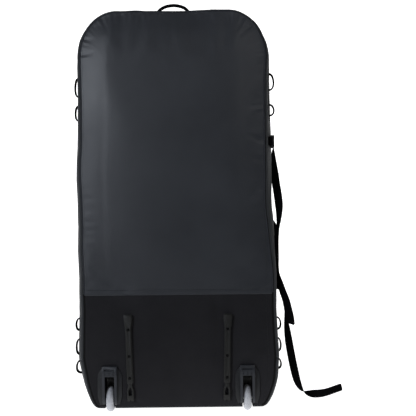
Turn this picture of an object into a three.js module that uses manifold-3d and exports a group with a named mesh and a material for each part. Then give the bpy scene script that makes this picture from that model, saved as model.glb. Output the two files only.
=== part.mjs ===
// A wheeled soft board bag, standing on its two wheels and two front feet.
// Millimetres, +Z up. The wheels and skid rails are on the rear face, which looks along -Y.
// The zipped lid is in the front face, which looks along +Y.
import * as THREE from 'three';
import { mergeVertices } from 'three/addons/utils/BufferGeometryUtils.js';
import Module from 'manifold-3d';

const wasm = await Module();
wasm.setup();

// ---- driving dimensions -------------------------------------------------------------------
const GAP = 0.3;                 // clearance between pieces that touch
const WALL = 6;                  // padded fabric wall
const REAR_Y = -136;             // outer face of the rear panels
const FRONT_Y = 142;             // outer face of the front border and lid
const BASE_Z = 17;               // underside of the bag
const TOP_Z = 1187;              // crown of the top panel
const BASE_HALF = 247;           // half the flat run of the base
const WAIST_HALF = 296;          // half-width at the widest height
const WAIST_Z = 160;
const SHOULDER_HALF = 285;       // half-width where the top corners start
const SHOULDER_Z = 1045;
const CORNER_RX = 124;           // top corner, across
const SEAM_IN = 20;              // the seams lie this far inside the bulge at the waist
const SEAM_IN_HIGH = 10;         // this far inside it at the shoulders
const SEAM_DROP = 5;             // this far below the crown of the top
const SEAM_LIFT = 3;             // and this far above the underside
const SPLIT_Z = 351;             // seam between the two rear panels
const PIPING = 4.2;

const LID_HALF = 232;            // opening in the front face
const LID_TOP = 1120;
const LID_BASE = 62;
const LID_CORNER = 110;
const TAPE = 9.5;                // zip tape on the body side
const COIL_IN = 2.4;             // zip teeth, inside the opening's edge
const COIL_WIDE = 3.4;

const AXLE_Y = -114;
const AXLE_Z = 38;
const WHEEL_X = 203;
const WHEEL_R = 38;
const CHEEK_IN = 14;             // inner face of each wheel cheek
const CHEEK_OUT = 21.5;
const FLANGE_R = 36;             // plate of the wheel housing

const RAIL_X = 145;
const RAIL_TOP = 288;
const RAIL_END = 88;
const RAIL_FOOT = 37;
const RAIL_MID = 190;            // each rail leans about this height, its top outward
const RAIL_LEAN = 1.4 * Math.PI / 180;

const FOOT_X = 200;
const FOOT_Y = 80;

const REACH_X = 310;             // outermost point of the side handle and the lower left loops
const WEBBING = 25;
const UPPER_STRAP_Z = 798;
const LOWER_STRAP_Z = 352;

// ---- materials ----------------------------------------------------------------------------
const finish = (color, roughness, metalness = 0) =>
  new THREE.MeshStandardMaterial({ color, roughness, metalness });
const coated = finish(0x33363a, 0.5);
const heavy = finish(0x1d1d20, 0.8);
const sideCloth = finish(0x26261f, 0.8);
const webbing = finish(0x131314, 0.8);
const trim = finish(0x101011, 0.6);
const plastic = finish(0x2b2c33, 0.5);
const railPlastic = finish(0x34353a, 0.5);
const board = finish(0x1a1a1a, 0.7);
const urethane = finish(0xa8aaac, 0.35);
const hubPlastic = finish(0x8f9194, 0.45);
const steel = finish(0xb5b5b5, 0.3, 1);
const rubber = finish(0x1b1b1b, 0.8);

// ---- helpers ------------------------------------------------------------------------------
const bag = new THREE.Group();

function add(name, geometry, material, place = [0, 0, 0], group = bag) {
  const mesh = new THREE.Mesh(geometry, material);
  mesh.name = name;
  mesh.position.set(...place);
  group.add(mesh);
  return mesh;
}

function solid(geometry) {
  const bare = geometry.clone();
  bare.deleteAttribute('normal');
  bare.deleteAttribute('uv');
  const merged = mergeVertices(bare, 1e-4);
  return new wasm.Manifold(new wasm.Mesh({
    numProp: 3,
    vertProperties: new Float32Array(merged.attributes.position.array),
    triVerts: new Uint32Array(merged.index.array),
  }));
}

function geometryOf(body) {
  const mesh = body.getMesh();
  const geometry = new THREE.BufferGeometry();
  geometry.setAttribute('position', new THREE.BufferAttribute(mesh.vertProperties, 3));
  geometry.setIndex(new THREE.BufferAttribute(mesh.triVerts, 1));
  return geometry;
}

const union = (...parts) => geometryOf(parts.map(solid).reduce((a, b) => a.add(b)));
const minus = (base, ...tools) =>
  geometryOf(tools.map(solid).reduce((a, b) => a.subtract(b), solid(base)));

const block = (x0, x1, y0, y1, z0, z1) =>
  new THREE.BoxGeometry(x1 - x0, y1 - y0, z1 - z0)
    .translate((x0 + x1) / 2, (y0 + y1) / 2, (z0 + z1) / 2);

// A shape drawn in X and Z, made solid from y0 to y1.
const acrossY = (shape, y0, y1, curveSegments = 10) =>
  new THREE.ExtrudeGeometry(shape, { depth: y1 - y0, bevelEnabled: false, curveSegments })
    .rotateX(Math.PI / 2)
    .translate(0, y1, 0);

// A shape drawn in Y and Z, made solid from x0 to x1.
const acrossX = (shape, x0, x1, curveSegments = 10) =>
  new THREE.ExtrudeGeometry(shape, { depth: x1 - x0, bevelEnabled: false, curveSegments })
    .applyMatrix4(new THREE.Matrix4().makeBasis(
      new THREE.Vector3(0, 1, 0), new THREE.Vector3(0, 0, 1), new THREE.Vector3(1, 0, 0)))
    .translate(x0, 0, 0);

// A shape drawn in X and Y, made solid from z0 to z1.
const acrossZ = (shape, z0, z1, curveSegments = 10) =>
  new THREE.ExtrudeGeometry(shape, { depth: z1 - z0, bevelEnabled: false, curveSegments })
    .translate(0, 0, z0);

const polygon = (points) => new THREE.Shape(points.map(([a, b]) => new THREE.Vector2(a, b)));

const discAlongX = (radius, x0, x1, y, z, sides = 24) =>
  new THREE.CylinderGeometry(radius, radius, x1 - x0, sides)
    .rotateZ(-Math.PI / 2)
    .translate((x0 + x1) / 2, y, z);

const discAlongY = (radius, y0, y1, x, z, sides = 16) =>
  new THREE.CylinderGeometry(radius, radius, y1 - y0, sides)
    .translate(x, (y0 + y1) / 2, z);

// A ring turned about the X axis from a closed profile of [radius, x] points.
const turned = (profile, sides) =>
  new THREE.LatheGeometry(
    [...profile, profile[0]].map(([r, x]) => new THREE.Vector2(r, x)), sides)
    .rotateZ(-Math.PI / 2);

// A solid skinned over a row of rings of points, closed at both ends.
function loft(rings, capContour) {
  const size = rings[0].length;
  const positions = rings.flat().flatMap((p) => [p.x, p.y, p.z]);
  const triangles = [];
  for (let i = 0; i + 1 < rings.length; i += 1) {
    for (let j = 0; j < size; j += 1) {
      const a = i * size + j;
      const b = i * size + ((j + 1) % size);
      triangles.push([a, b, b + size], [a, b + size, a + size]);
    }
  }
  const cap = THREE.ShapeUtils.triangulateShape(capContour, []);
  const last = (rings.length - 1) * size;
  cap.forEach(([a, b, c]) => triangles.push([a, c, b], [last + a, last + b, last + c]));
  const corner = (k) => new THREE.Vector3().fromArray(positions, 3 * k);
  const volume = triangles.reduce((sum, [a, b, c]) =>
    sum + corner(a).dot(corner(b).cross(corner(c))), 0);
  const outward = volume > 0 ? triangles : triangles.map(([a, b, c]) => [a, c, b]);
  const geometry = new THREE.BufferGeometry();
  geometry.setAttribute('position', new THREE.Float32BufferAttribute(positions, 3));
  geometry.setIndex(outward.flat());
  return geometry;
}

// ---- the bag's outline --------------------------------------------------------------------
// seam is 0 on the bulge at mid-depth and 1 at the seams of the front and rear faces.
function outlineCurves(seam) {
  const inward = SEAM_IN * seam;
  const low = BASE_Z + SEAM_LIFT * seam;
  const high = TOP_Z - SEAM_DROP * seam;
  const v = (x, z) => new THREE.Vector2(x, z);
  const baseEnd = BASE_HALF - inward / 2;
  const waist = WAIST_HALF - inward;
  const shoulder = SHOULDER_HALF - SEAM_IN_HIGH * seam;
  const cornerX = CORNER_RX - 0.7 * SEAM_IN_HIGH * seam;
  return {
    lower: new THREE.CubicBezierCurve(
      v(baseEnd, low), v(baseEnd + 17, low), v(waist - 12, 80), v(waist, WAIST_Z)),
    side: new THREE.QuadraticBezierCurve(
      v(waist, WAIST_Z), v(waist - 3, 600), v(shoulder, SHOULDER_Z)),
    upper: new THREE.EllipseCurve(
      shoulder - cornerX, SHOULDER_Z, cornerX, high - SHOULDER_Z, 0, Math.PI / 2),
  };
}

// Points along one stretch of the right half, each with the direction into the bag.
function stretch(seam, name, from, to, steps) {
  const curve = outlineCurves(seam)[name];
  return Array.from({ length: steps + 1 }, (_, i) => {
    const u = from + (to - from) * i / steps;
    const tangent = curve.getTangent(u);
    return { at: curve.getPoint(u), into: new THREE.Vector2(-tangent.y, tangent.x) };
  });
}

const mirrored = (points) => points.map(({ at, into }) => ({
  at: new THREE.Vector2(-at.x, at.y), into: new THREE.Vector2(-into.x, into.y),
})).reverse();

const inset = ({ at, into }, by) => at.clone().addScaledVector(into, by);

// The whole outline, anticlockwise from the middle of the base.
function outline(seam, by) {
  const right = [
    ...stretch(seam, 'lower', 0, 1, 6),
    ...stretch(seam, 'side', 0, 1, 6).slice(1),
    ...stretch(seam, 'upper', 0, 1, 9).slice(1),
  ];
  return [...right, ...mirrored(right)].map((point) => inset(point, by));
}

// How far across from bulge to seam the side walls are, at a depth y.
const MID_Y = (REAR_Y + FRONT_Y) / 2;
const HALF_DEPTH = (FRONT_Y - REAR_Y) / 2 - WALL - GAP;
const depthSteps = [[-1, 1], [-0.92, 0.55], [-0.7, 0.2], [-0.33, 0], [0.33, 0], [0.7, 0.2],
  [0.92, 0.55], [1, 1]];

function seamAt(y) {
  const reach = (y - MID_Y) / HALF_DEPTH;
  const next = depthSteps.findIndex(([r]) => r >= reach);
  const [r1, s1] = depthSteps[Math.max(next, 1)];
  const [r0, s0] = depthSteps[Math.max(next, 1) - 1];
  return s0 + (s1 - s0) * (reach - r0) / (r1 - r0);
}

// The x of the right side's outer face at a depth and a height.
function sideX(y, z) {
  const curve = outlineCurves(seamAt(y)).side;
  return curve.getPoint((z - WAIST_Z) / (SHOULDER_Z - WAIST_Z)).x;
}

// A wall between the two faces: outer points on the outline, inner ones a wall's thickness in.
function wall(route) {
  const outer = depthSteps.map(([reach, seam]) => [MID_Y + reach * HALF_DEPTH, seam, 0]);
  const inner = outer.map(([y, seam]) => [y, seam, WALL]).reverse();
  const section = [...outer, ...inner];
  const columns = section.map(([y, seam, by]) => route(seam).map((point) => {
    const p = inset(point, by);
    return new THREE.Vector3(p.x, y, p.y);
  }));
  const rings = columns[0].map((_, i) => columns.map((column) => column[i]));
  const cap = section.map(([y, seam, by]) => new THREE.Vector2(y, SEAM_IN * seam + by));
  return loft(rings, cap);
}

// ---- soft shell ---------------------------------------------------------------------------
const housingSlots = () => [-1, 1].map((side) => block(
  side * WHEEL_X - CHEEK_OUT - 0.5, side * WHEEL_X + CHEEK_OUT + 0.5,
  REAR_Y - 20, AXLE_Y + 49, 0, AXLE_Z + 76));

const clipped = (points, low, high) => new THREE.Shape(points.map((p) =>
  new THREE.Vector2(p.x, Math.min(Math.max(p.y, low), high))));

function rearPanels() {
  const edge = outline(1, PIPING + GAP);
  const plate = acrossY(new THREE.Shape(edge), REAR_Y, REAR_Y + WALL);
  const above = block(-400, 400, REAR_Y - 50, REAR_Y + 50, SPLIT_Z - GAP / 2, 1400);
  const below = block(-400, 400, REAR_Y - 50, REAR_Y + 50, -100, SPLIT_Z + GAP / 2);
  add('rear_panel_upper', minus(plate, below), coated);
  add('rear_panel_lower', minus(plate, above, ...housingSlots()), heavy);
}

function sidePanels() {
  const route = (seam) => stretch(seam, 'side', 0.002, 0.998, 8);
  add('side_panel_right', wall(route), sideCloth);
  add('side_panel_left', wall((seam) => mirrored(route(seam))), sideCloth);
}

function topPanel() {
  const route = (seam) => {
    const corner = stretch(seam, 'upper', 0, 1, 8);
    return [...corner, ...mirrored(corner)];
  };
  add('top_panel', wall(route), sideCloth);
}

function basePanel() {
  const route = (seam) => {
    const corner = stretch(seam, 'lower', 0, 0.997, 6);
    return [...mirrored(corner), ...corner];
  };
  add('base_panel', minus(wall(route), ...housingSlots()), heavy);
}

// A U-shaped band up, over and down the front opening, between two insets.
function openingEdge(by, base) {
  const half = LID_HALF - by;
  const arch = LID_CORNER - by;
  const shoulder = LID_TOP - LID_CORNER;
  const reach = half - arch;
  const shape = new THREE.Path();
  shape.moveTo(half, base);
  shape.lineTo(half, shoulder);
  shape.absarc(reach, shoulder, arch, 0, Math.PI / 2);
  shape.absarc(-reach, shoulder, arch, Math.PI / 2, Math.PI);
  shape.lineTo(-half, base);
  return shape.getPoints(8).filter((p, i, all) => i === 0 || p.distanceTo(all[i - 1]) > 0.01);
}

const uBand = (outer, inner, base) =>
  new THREE.Shape([...openingEdge(outer, base), ...openingEdge(inner, base).reverse()]);

function frontFace() {
  const border = new THREE.Shape(outline(1, PIPING + GAP));
  border.holes.push(new THREE.Path(openingEdge(0, LID_BASE).reverse()));
  add('front_border', acrossY(border, FRONT_Y - WALL, FRONT_Y), heavy);

  const tapeBase = LID_BASE + GAP;
  const tape = acrossY(uBand(GAP, TAPE, tapeBase), FRONT_Y - 3.5, FRONT_Y - 1.5);
  const coil = acrossY(uBand(COIL_IN, COIL_IN + COIL_WIDE, tapeBase), FRONT_Y - 1.6, FRONT_Y + 0.5);
  add('zip_chain', union(tape, coil), trim);

  const lidEdge = new THREE.Shape(openingEdge(TAPE + GAP, tapeBase));
  const lidCore = new THREE.Shape(openingEdge(TAPE + 5, tapeBase));
  add('front_lid', union(
    acrossY(lidEdge, FRONT_Y - 3.5, FRONT_Y - 1.5),
    acrossY(lidCore, FRONT_Y - WALL, FRONT_Y)), coated);
}

// The rear piping stops at the wheel housings; the base hem closes the stretch between them.
function piping() {
  const ring = new THREE.Shape(outline(1, 0));
  ring.holes.push(new THREE.Path(outline(1, PIPING).reverse()));
  const reach = WHEEL_X + CHEEK_OUT + 0.5;
  add('piping_front', acrossY(ring, FRONT_Y - WALL, FRONT_Y + 0.6), trim);
  add('piping_rear', minus(acrossY(ring, REAR_Y - 0.6, REAR_Y + WALL),
    block(-reach, reach, REAR_Y - 20, REAR_Y + 20, 0, 60)), trim);
}

function stiffeners() {
  const plate = block(-244, 244, REAR_Y + WALL + GAP, REAR_Y + WALL + GAP + 2.5, 48, 345);
  add('rear_board', minus(plate, ...housingSlots()), board);
  add('base_board', block(-236, 236, -62, 90, BASE_Z + 10, BASE_Z + 12.5), board);
}

// ---- zip sliders --------------------------------------------------------------------------
const SLIDER_X = -(LID_HALF - COIL_IN - COIL_WIDE / 2);
const SLIDER_LOW_Z = 622;
const SLIDER_HIGH_Z = 668;
const SLIDER_Y = FRONT_Y + 0.8;

function zipSlider(name, z, nose) {
  const outlineShape = polygon([[-5, -9 * nose], [5, -9 * nose], [5, 2 * nose],
    [3, 9 * nose], [-3, 9 * nose], [-5, 2 * nose]]);
  const plate = acrossY(outlineShape, 0, 3.2);
  const bridge = block(-2, 2, 3, 5, -5, 5);
  add(name, union(plate, bridge), steel, [SLIDER_X, SLIDER_Y, z]);
}

function zipPull(name, z) {
  const stem = block(-2.4, 2.4, -1, 1, -20, 1);
  const grip = acrossY(polygon([[-3.4, -18], [-4.6, -24], [-4.6, -31], [-3, -33], [3, -33],
    [4.6, -31], [4.6, -24], [3.4, -18]]), -1, 2.4);
  add(name, union(stem, grip), trim, [SLIDER_X, SLIDER_Y + 6.8, z]);
}

// ---- wheels -------------------------------------------------------------------------------
const ROOF_OUT = [[48, -10], [48, 20], [40, 44], [22, 62], [-4, 72], [-24, 75]];
const ROOF_IN = [[-24, 71], [-6, 68], [19, 58], [36, 41], [43.8, 19], [43.8, -10]];

function wheelHousing(name, side) {
  const rear = REAR_Y - AXLE_Y;
  const flangeTop = 66;
  const flange = new THREE.Shape();
  flange.moveTo(-29, -12);
  flange.lineTo(29, -12);
  flange.lineTo(FLANGE_R, 12);
  flange.lineTo(FLANGE_R, flangeTop);
  flange.absarc(0, flangeTop, FLANGE_R, 0, Math.PI);
  flange.lineTo(-FLANGE_R, 12);
  const mouth = block(-CHEEK_IN, CHEEK_IN, -60, rear + 10, -40, 71);
  const hood = acrossX(polygon([[rear - 3, 71], [-36, 71], [-37, 74], [-37, 90], [-33, 101],
    [rear - 3, 102]]), -CHEEK_OUT, CHEEK_OUT);
  const cheekShape = polygon([[-36, 72], [-36, 12], [-33, -3], [-24, -13], [-8, -15], [30, -15],
    ...ROOF_OUT]);
  const cheeks = [-1, 1].map((k) => acrossX(cheekShape,
    k < 0 ? -CHEEK_OUT : CHEEK_IN, k < 0 ? -CHEEK_IN : CHEEK_OUT));
  const roof = acrossX(polygon([...ROOF_OUT, ...ROOF_IN]), -CHEEK_IN - 1, CHEEK_IN + 1);
  const body = union(acrossY(flange, rear - 3.7, rear - GAP), hood, ...cheeks, roof);
  const shell = minus(body, mouth,
    block(-15, 15, -60, -32, 88, 93),
    ...[-12, 0, 12].map((x) => block(x - 1.5, x + 1.5, -60, -35.4, 74, 84)),
    discAlongX(4.4, -40, 40, 0, 0),
    discAlongX(8.2, -40, -CHEEK_OUT + 3.6, 0, 0),
    discAlongX(8.2, CHEEK_OUT - 3.6, 40, 0, 0));
  add(name, shell, plastic, [side * WHEEL_X, AXLE_Y, AXLE_Z]);
}

function wheel(tag, side) {
  const place = [side * WHEEL_X, AXLE_Y, AXLE_Z];
  const shoulder = [[22.3, 10], [25, 11.5], [28.6, 11.4], [31.8, 9.9], [34.4, 7.7], [36.3, 5.2],
    [37.5, 2.6], [WHEEL_R, 0.5]];
  const tyre = [...shoulder.map(([r, x]) => [r, -x]), ...shoulder.slice().reverse()];
  const hub = [[11.3, -9.5], [22, -9.5], [22, 9.5], [11.3, 9.5], [11.3, 2.2], [6, 2.2],
    [6, -2.2], [11.3, -2.2]];
  const bearing = [[4.3, 2.5], [11, 2.5], [11, 9.5], [9.6, 9.5], [9, 9], [6.6, 9], [6, 9.5],
    [4.3, 9.5]];
  add(`tyre_${tag}`, turned(tyre, 36), urethane, place);
  add(`hub_${tag}`, turned(hub, 24), hubPlastic, place);
  add(`bearing_${tag}_outer`, turned(bearing, 18), steel, place);
  add(`bearing_${tag}_inner`, turned(bearing, 18).rotateZ(Math.PI), steel, place);
  const head = CHEEK_OUT - 0.2;
  const axle = [[0, -head], [7, -head], [7, -head + 3], [4, -head + 3], [4, head], [0, head]];
  add(`axle_${tag}`, new THREE.LatheGeometry(axle.map(([r, x]) => new THREE.Vector2(r, x)), 18)
    .rotateZ(-Math.PI / 2), steel, place);
  const nut = minus(discAlongX(7.5, head - 3, head, 0, 0, 6), discAlongX(4.3, 0, 40, 0, 0, 18));
  add(`axle_nut_${tag}`, nut, steel, place);
}

function frontFoot(name, side) {
  const profile = [[0, 0], [14, 0], [17, 3], [18.5, BASE_Z - 0.6], [0, BASE_Z - 0.6]];
  add(name, new THREE.LatheGeometry(profile.map(([r, z]) => new THREE.Vector2(r, z)), 24)
    .rotateX(Math.PI / 2), rubber, [side * FOOT_X, FOOT_Y, 0]);
}

// ---- skid rails ---------------------------------------------------------------------------
const SCREW_Z = [246, 168, 104];

function leaning(geometry, side) {
  return geometry.translate(0, 0, -RAIL_MID).rotateY(side * RAIL_LEAN).translate(0, 0, RAIL_MID);
}
function skidRail(name, side) {
  const bar = polygon([[-7.5, RAIL_END], [7.5, RAIL_END], [7.5, 250], [11.5, 278], [11, RAIL_TOP],
    [-11, RAIL_TOP], [-11.5, 278], [-7.5, 250]]);
  const base = polygon([[-9.5, RAIL_END], [9.5, RAIL_END], [9.5, 248], [13.5, 279], [12.5, 290],
    [-12.5, 290], [-13.5, 279], [-9.5, 248]]);
  const body = union(acrossY(bar, REAR_Y - 13, REAR_Y - 3), acrossY(base, REAR_Y - 3.4, REAR_Y - GAP));
  const holes = SCREW_Z.map((z) => discAlongY(4.4, REAR_Y - 20, REAR_Y - 10, 0, z));
  add(name, leaning(minus(body, ...holes), side), railPlastic, [side * RAIL_X, 0, 0]);
}

function railScrew(name, side, z) {
  const profile = [[0, 0], [4, 0], [4, 1.4], [2.6, 2.6], [0, 3]];
  const up = z - RAIL_MID;
  const x = side * (RAIL_X + up * Math.sin(RAIL_LEAN));
  add(name, new THREE.LatheGeometry(profile.map(([r, h]) => new THREE.Vector2(r, h)), 12),
    steel, [x, REAR_Y - 9.7 - 3.2, RAIL_MID + up * Math.cos(RAIL_LEAN)]).rotateX(Math.PI);
}

function skidFoot(name, side) {
  const fork = polygon([[-6.5, RAIL_END - GAP], [-6.5, 80], [-10, 68], [-9.5, RAIL_FOOT + 15],
    [-9.5, RAIL_FOOT], [-2, RAIL_FOOT], [0, RAIL_FOOT + 4], [2, RAIL_FOOT], [9.5, RAIL_FOOT],
    [9.5, RAIL_FOOT + 15], [10, 68], [6.5, 80], [6.5, RAIL_END - GAP]]);
  const slot = new THREE.Path([[-5, RAIL_FOOT + 16], [-5.5, 66], [0, 78], [5.5, 66],
    [5, RAIL_FOOT + 16]].map(([x, z]) => new THREE.Vector2(x, z)));
  fork.holes.push(slot);
  add(name, leaning(acrossY(fork, REAR_Y - 12, REAR_Y - GAP), side), railPlastic,
    [side * RAIL_X, 0, 0]);
}

// ---- handles ------------------------------------------------------------------------------
// An arch over a span, of thickness t, with its feet at height 0.
function arch(halfSpan, rise, t) {
  const curve = (half, high) => Array.from({ length: 13 }, (_, i) => {
    const a = Math.PI * i / 12;
    return [half * Math.cos(a), high * Math.sin(a) ** 0.8];
  });
  const outer = curve(halfSpan, rise);
  const inner = curve(halfSpan - t, rise - t);
  outer[12][1] = 0;
  inner[12][1] = 0;
  return polygon([...outer, ...inner.reverse()]);
}

// Each handle turns in its two feet, which are round about the line that it swings on.
const HANDLE_Y = 3;
const HANDLE_SPAN = 55;
const HANDLE_RISE = 43;
const HANDLE_R = 4;

function topHandle() {
  const feet = [-1, 1].map((k) => discAlongX(HANDLE_R,
    Math.min(k * HANDLE_SPAN, k * (HANDLE_SPAN - 5)),
    Math.max(k * HANDLE_SPAN, k * (HANDLE_SPAN - 5)), 0, 0, 16));
  const bow = acrossY(arch(HANDLE_SPAN, HANDLE_RISE, 5), -HANDLE_R, HANDLE_R);
  add('top_handle', union(bow, ...feet), webbing, [0, HANDLE_Y, TOP_Z + HANDLE_R + 0.4]);
}

const SIDE_HANDLE_Y = -50;
const SIDE_HANDLE_Z = 482;
const SIDE_HANDLE_SPAN = 82;
const SIDE_HANDLE_R = 3;
const SIDE_HANDLE_X =
  sideX(SIDE_HANDLE_Y + 4, SIDE_HANDLE_Z - SIDE_HANDLE_SPAN) + SIDE_HANDLE_R + 0.4;

function sideHandle() {
  const shape = arch(SIDE_HANDLE_SPAN, REACH_X - SIDE_HANDLE_X, 4);
  const narrow = acrossY(shape, -SIDE_HANDLE_R, SIDE_HANDLE_R);
  const grip = solid(acrossY(shape, -11, 11)).intersect(solid(block(-48, 48, -20, 20, 0, 40)));
  const feet = [-1, 1].map((k) => discAlongX(SIDE_HANDLE_R,
    Math.min(k * SIDE_HANDLE_SPAN, k * (SIDE_HANDLE_SPAN - 4)),
    Math.max(k * SIDE_HANDLE_SPAN, k * (SIDE_HANDLE_SPAN - 4)), 0, 0, 12));
  const bow = union(narrow, geometryOf(grip), ...feet).rotateY(Math.PI / 2);
  add('side_handle', bow, webbing, [SIDE_HANDLE_X, SIDE_HANDLE_Y, SIDE_HANDLE_Z]);
}

// ---- daisy-chain webbing ------------------------------------------------------------------
const LOOP_Y = [-113, -91];
const LOOP_T = 2;

// The strip runs up the side. Each loop is [lowest z, highest z], and reaches out to x.
function loopWebbing(name, side, loops, reach) {
  const ends = [loops[0][0] - 14, loops[loops.length - 1][1] + 14];
  const mid = (ends[0] + ends[1]) / 2;
  const face = sideX(LOOP_Y[1], mid) + 1.6;
  const rise = reach - face;
  const strip = polygon([[0, ends[0]], [LOOP_T, ends[0]], [LOOP_T, ends[1]], [0, ends[1]]]);
  const arches = loops.map(([low, high]) => {
    const centre = (low + high) / 2;
    const half = (high - low) / 2;
    const ring = (by) => Array.from({ length: 9 }, (_, i) => {
      const a = -Math.PI / 2 + Math.PI * i / 8;
      return [LOOP_T / 2 + (rise - LOOP_T / 2 - by) * Math.cos(a) ** 0.7,
        centre + (half - by) * Math.sin(a)];
    });
    return polygon([...ring(0), ...ring(LOOP_T).reverse()]);
  });
  const flat = union(...[strip, ...arches].map((shape) => acrossY(shape, ...LOOP_Y)));
  if (side < 0) flat.rotateZ(Math.PI).translate(0, LOOP_Y[0] + LOOP_Y[1], 0);
  add(name, flat, webbing, [side * face, 0, 0]);
}

function sideAnchor() {
  const face = sideX(-88, 812) + 0.6;
  add('side_anchor_left', block(-face - 4, -face, -114, -88, 812, 832), webbing);
}

// ---- compression straps -------------------------------------------------------------------
// Webbing laid round the right side between two depths.
function sideStrap(name, z, from, to) {
  const bends = depthSteps.map(([reach]) => MID_Y + reach * HALF_DEPTH);
  const depths = [from, ...bends.filter((y) => y > from && y < to), to];
  const at = (by) => depths.map((y) => [sideX(y, z - WEBBING / 2) + by, y]);
  add(name, acrossZ(polygon([...at(0.7), ...at(2.3).reverse()]),
    z - WEBBING / 2, z + WEBBING / 2), webbing);
}

const BUCKLE_HALF = 19;
const BUCKLE_T = 9;

// The socket's mouth faces +Y and the tongue comes out that way.
function buckle(tag, z, y, x) {
  const socket = polygon([[-BUCKLE_HALF + 3, 0], [BUCKLE_HALF - 3, 0], [BUCKLE_HALF, 6],
    [BUCKLE_HALF, 34], [-BUCKLE_HALF, 34], [-BUCKLE_HALF, 6]]);
  const upright = (shape, y0, y1) => acrossX(shape, y0, y1);
  const turnedShape = (shape) => new THREE.Shape(shape.getPoints().map((p) =>
    new THREE.Vector2(p.y, p.x)));
  const shell = upright(turnedShape(socket), 0, BUCKLE_T);
  add(`${tag}_buckle_socket`, minus(shell,
    block(2, BUCKLE_T - 2, 8, 60, -BUCKLE_HALF + 3.5, BUCKLE_HALF - 3.5),
    block(2.6, BUCKLE_T - 2.6, 14, 26, -40, 40)), plastic, [x, y, z]);

  const body = block(0.6, BUCKLE_T - 0.6, 34.6, 60, -BUCKLE_HALF + 2, BUCKLE_HALF - 2);
  const guide = block(2.6, BUCKLE_T - 2.6, 12, 36, -4, 4);
  const prongs = [-1, 1].map((k) => block(2.6, BUCKLE_T - 2.6, 14, 36,
    Math.min(k * 9, k * 14.6), Math.max(k * 9, k * 14.6)));
  const barSlots = [[40, 44.5], [50, 54.5]].map(([a, b]) => block(-5, 20, a, b, -13, 13));
  add(`${tag}_buckle_tongue`, minus(union(body, guide, ...prongs), ...barSlots),
    plastic, [x, y, z]);
}

// ---- loose strap tails --------------------------------------------------------------------
// Each stop is a point on the centre line and the direction across the webbing there.
const UPPER_TAIL = [
  [[302.4, -63, 781], [0, 1, 0.1]],
  [[303, -64.5, 764], [0.31, 0.95, 0]],
  [[304.6, -68, 732], [0.67, 0.74, 0]],
  [[307.2, -72, 699], [0.94, 0.34, 0]],
  [[308.9, -76, 675], [1, 0.07, 0]],
  [[311.5, -80, 651], [1, -0.03, 0]],
  [[313.4, -84, 624], [0.99, -0.14, 0]],
  [[314.6, -89, 594], [0.81, -0.59, 0]],
  [[311.8, -93, 564], [0.5, -0.87, 0]],
  [[308.5, -96, 537], [0.21, -0.98, 0]],
  [[307, -98, 504], [0.09, -1, 0]],
  [[306.5, -100, 456], [0.03, -1, 0]],
  [[304.5, -101, 420], [0.14, -0.99, 0]],
  [[305, -102, 399], [0.37, -0.93, 0]],
  [[310.5, -103, 378], [0.67, -0.74, 0]],
  [[319.3, -104, 351.5], [0.81, -0.59, 0]],
  [[329.3, -105, 324.5], [0.87, -0.5, 0]],
  [[336.1, -106, 295], [0.95, -0.31, 0]],
  [[339.9, -107, 271], [0.99, -0.1, 0]],
  [[341, -107.5, 253], [1, 0, 0]],
];
const LOWER_TAIL = [
  [[306.5, 97, 352], [0, 0, 1]],
  [[315, 95, 351.5], [0, 0.2, 1]],
  [[324.5, 90, 343], [0.6, 0.6, 0.7]],
  [[331, 85, 322], [0.5, 1, 0.3]],
  [[334, 82, 292], [0.1, 1, 0]],
  [[336, 80, 252], [-0.3, 1, 0]],
  [[340, 77, 212], [-0.8, 0.7, 0]],
  [[345, 74, 172], [-1, 0.3, -0.1]],
  [[352, 69, 128], [-1, 0.1, -0.15]],
  [[360, 63, 86], [-1, 0.2, -0.2]],
  [[369, 56, 50], [-0.9, 0.6, -0.3]],
  [[383, 49, 25], [-0.4, 1, -0.1]],
  [[402, 46, 15.5], [0, 0.8, 0.55]],
  [[424, 47, 13.6], [0, 0.25, 1]],
  [[448, 57, 13.4], [0, 0, 1]],
  [[472, 83, 13.4], [0, 0, 1]],
  [[497, 118, 13.4], [0, 0, 1]],
  [[522, 152, 13.4], [0, 0, 1]],
];

function strapTail(name, stops, steps) {
  const curve = new THREE.CatmullRomCurve3(stops.map(([p]) => new THREE.Vector3(...p)));
  const across = new THREE.CatmullRomCurve3(stops.map(([, d]) =>
    new THREE.Vector3(...d).normalize()));
  const half = WEBBING / 2;
  const corners = [[-half, -0.9], [half, -0.9], [half, 0.9], [-half, 0.9]];
  const rings = Array.from({ length: steps + 1 }, (_, i) => {
    const u = i / steps;
    const tangent = curve.getTangent(u);
    const wide = across.getPoint(u).addScaledVector(tangent, -across.getPoint(u).dot(tangent));
    wide.normalize();
    const thick = new THREE.Vector3().crossVectors(tangent, wide);
    return corners.map(([a, b]) =>
      curve.getPoint(u).addScaledVector(wide, a).addScaledVector(thick, b));
  });
  add(name, loft(rings, corners.map(([a, b]) => new THREE.Vector2(a, b))), webbing);
}

// ---- assembly -----------------------------------------------------------------------------
rearPanels();
sidePanels();
topPanel();
basePanel();
frontFace();
piping();
stiffeners();
zipSlider('zip_slider_low', SLIDER_LOW_Z, 1);
zipSlider('zip_slider_high', SLIDER_HIGH_Z, -1);
zipPull('zip_pull_low', SLIDER_LOW_Z);
zipPull('zip_pull_high', SLIDER_HIGH_Z);
for (const [tag, side] of [['left', -1], ['right', 1]]) {
  wheelHousing(`wheel_housing_${tag}`, side);
  wheel(tag, side);
  frontFoot(`front_foot_${tag}`, side);
  skidRail(`skid_rail_${tag}`, side);
  skidFoot(`skid_foot_${tag}`, side);
  SCREW_Z.forEach((z, i) => railScrew(`rail_screw_${tag}_${i + 1}`, side, z));
}
topHandle();
sideHandle();
loopWebbing('loops_left_upper', -1, [[867, 909], [938, 991]], 298);
loopWebbing('loops_left_lower', -1, [[115, 150], [171, 215], [242, 277]], REACH_X);
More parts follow.
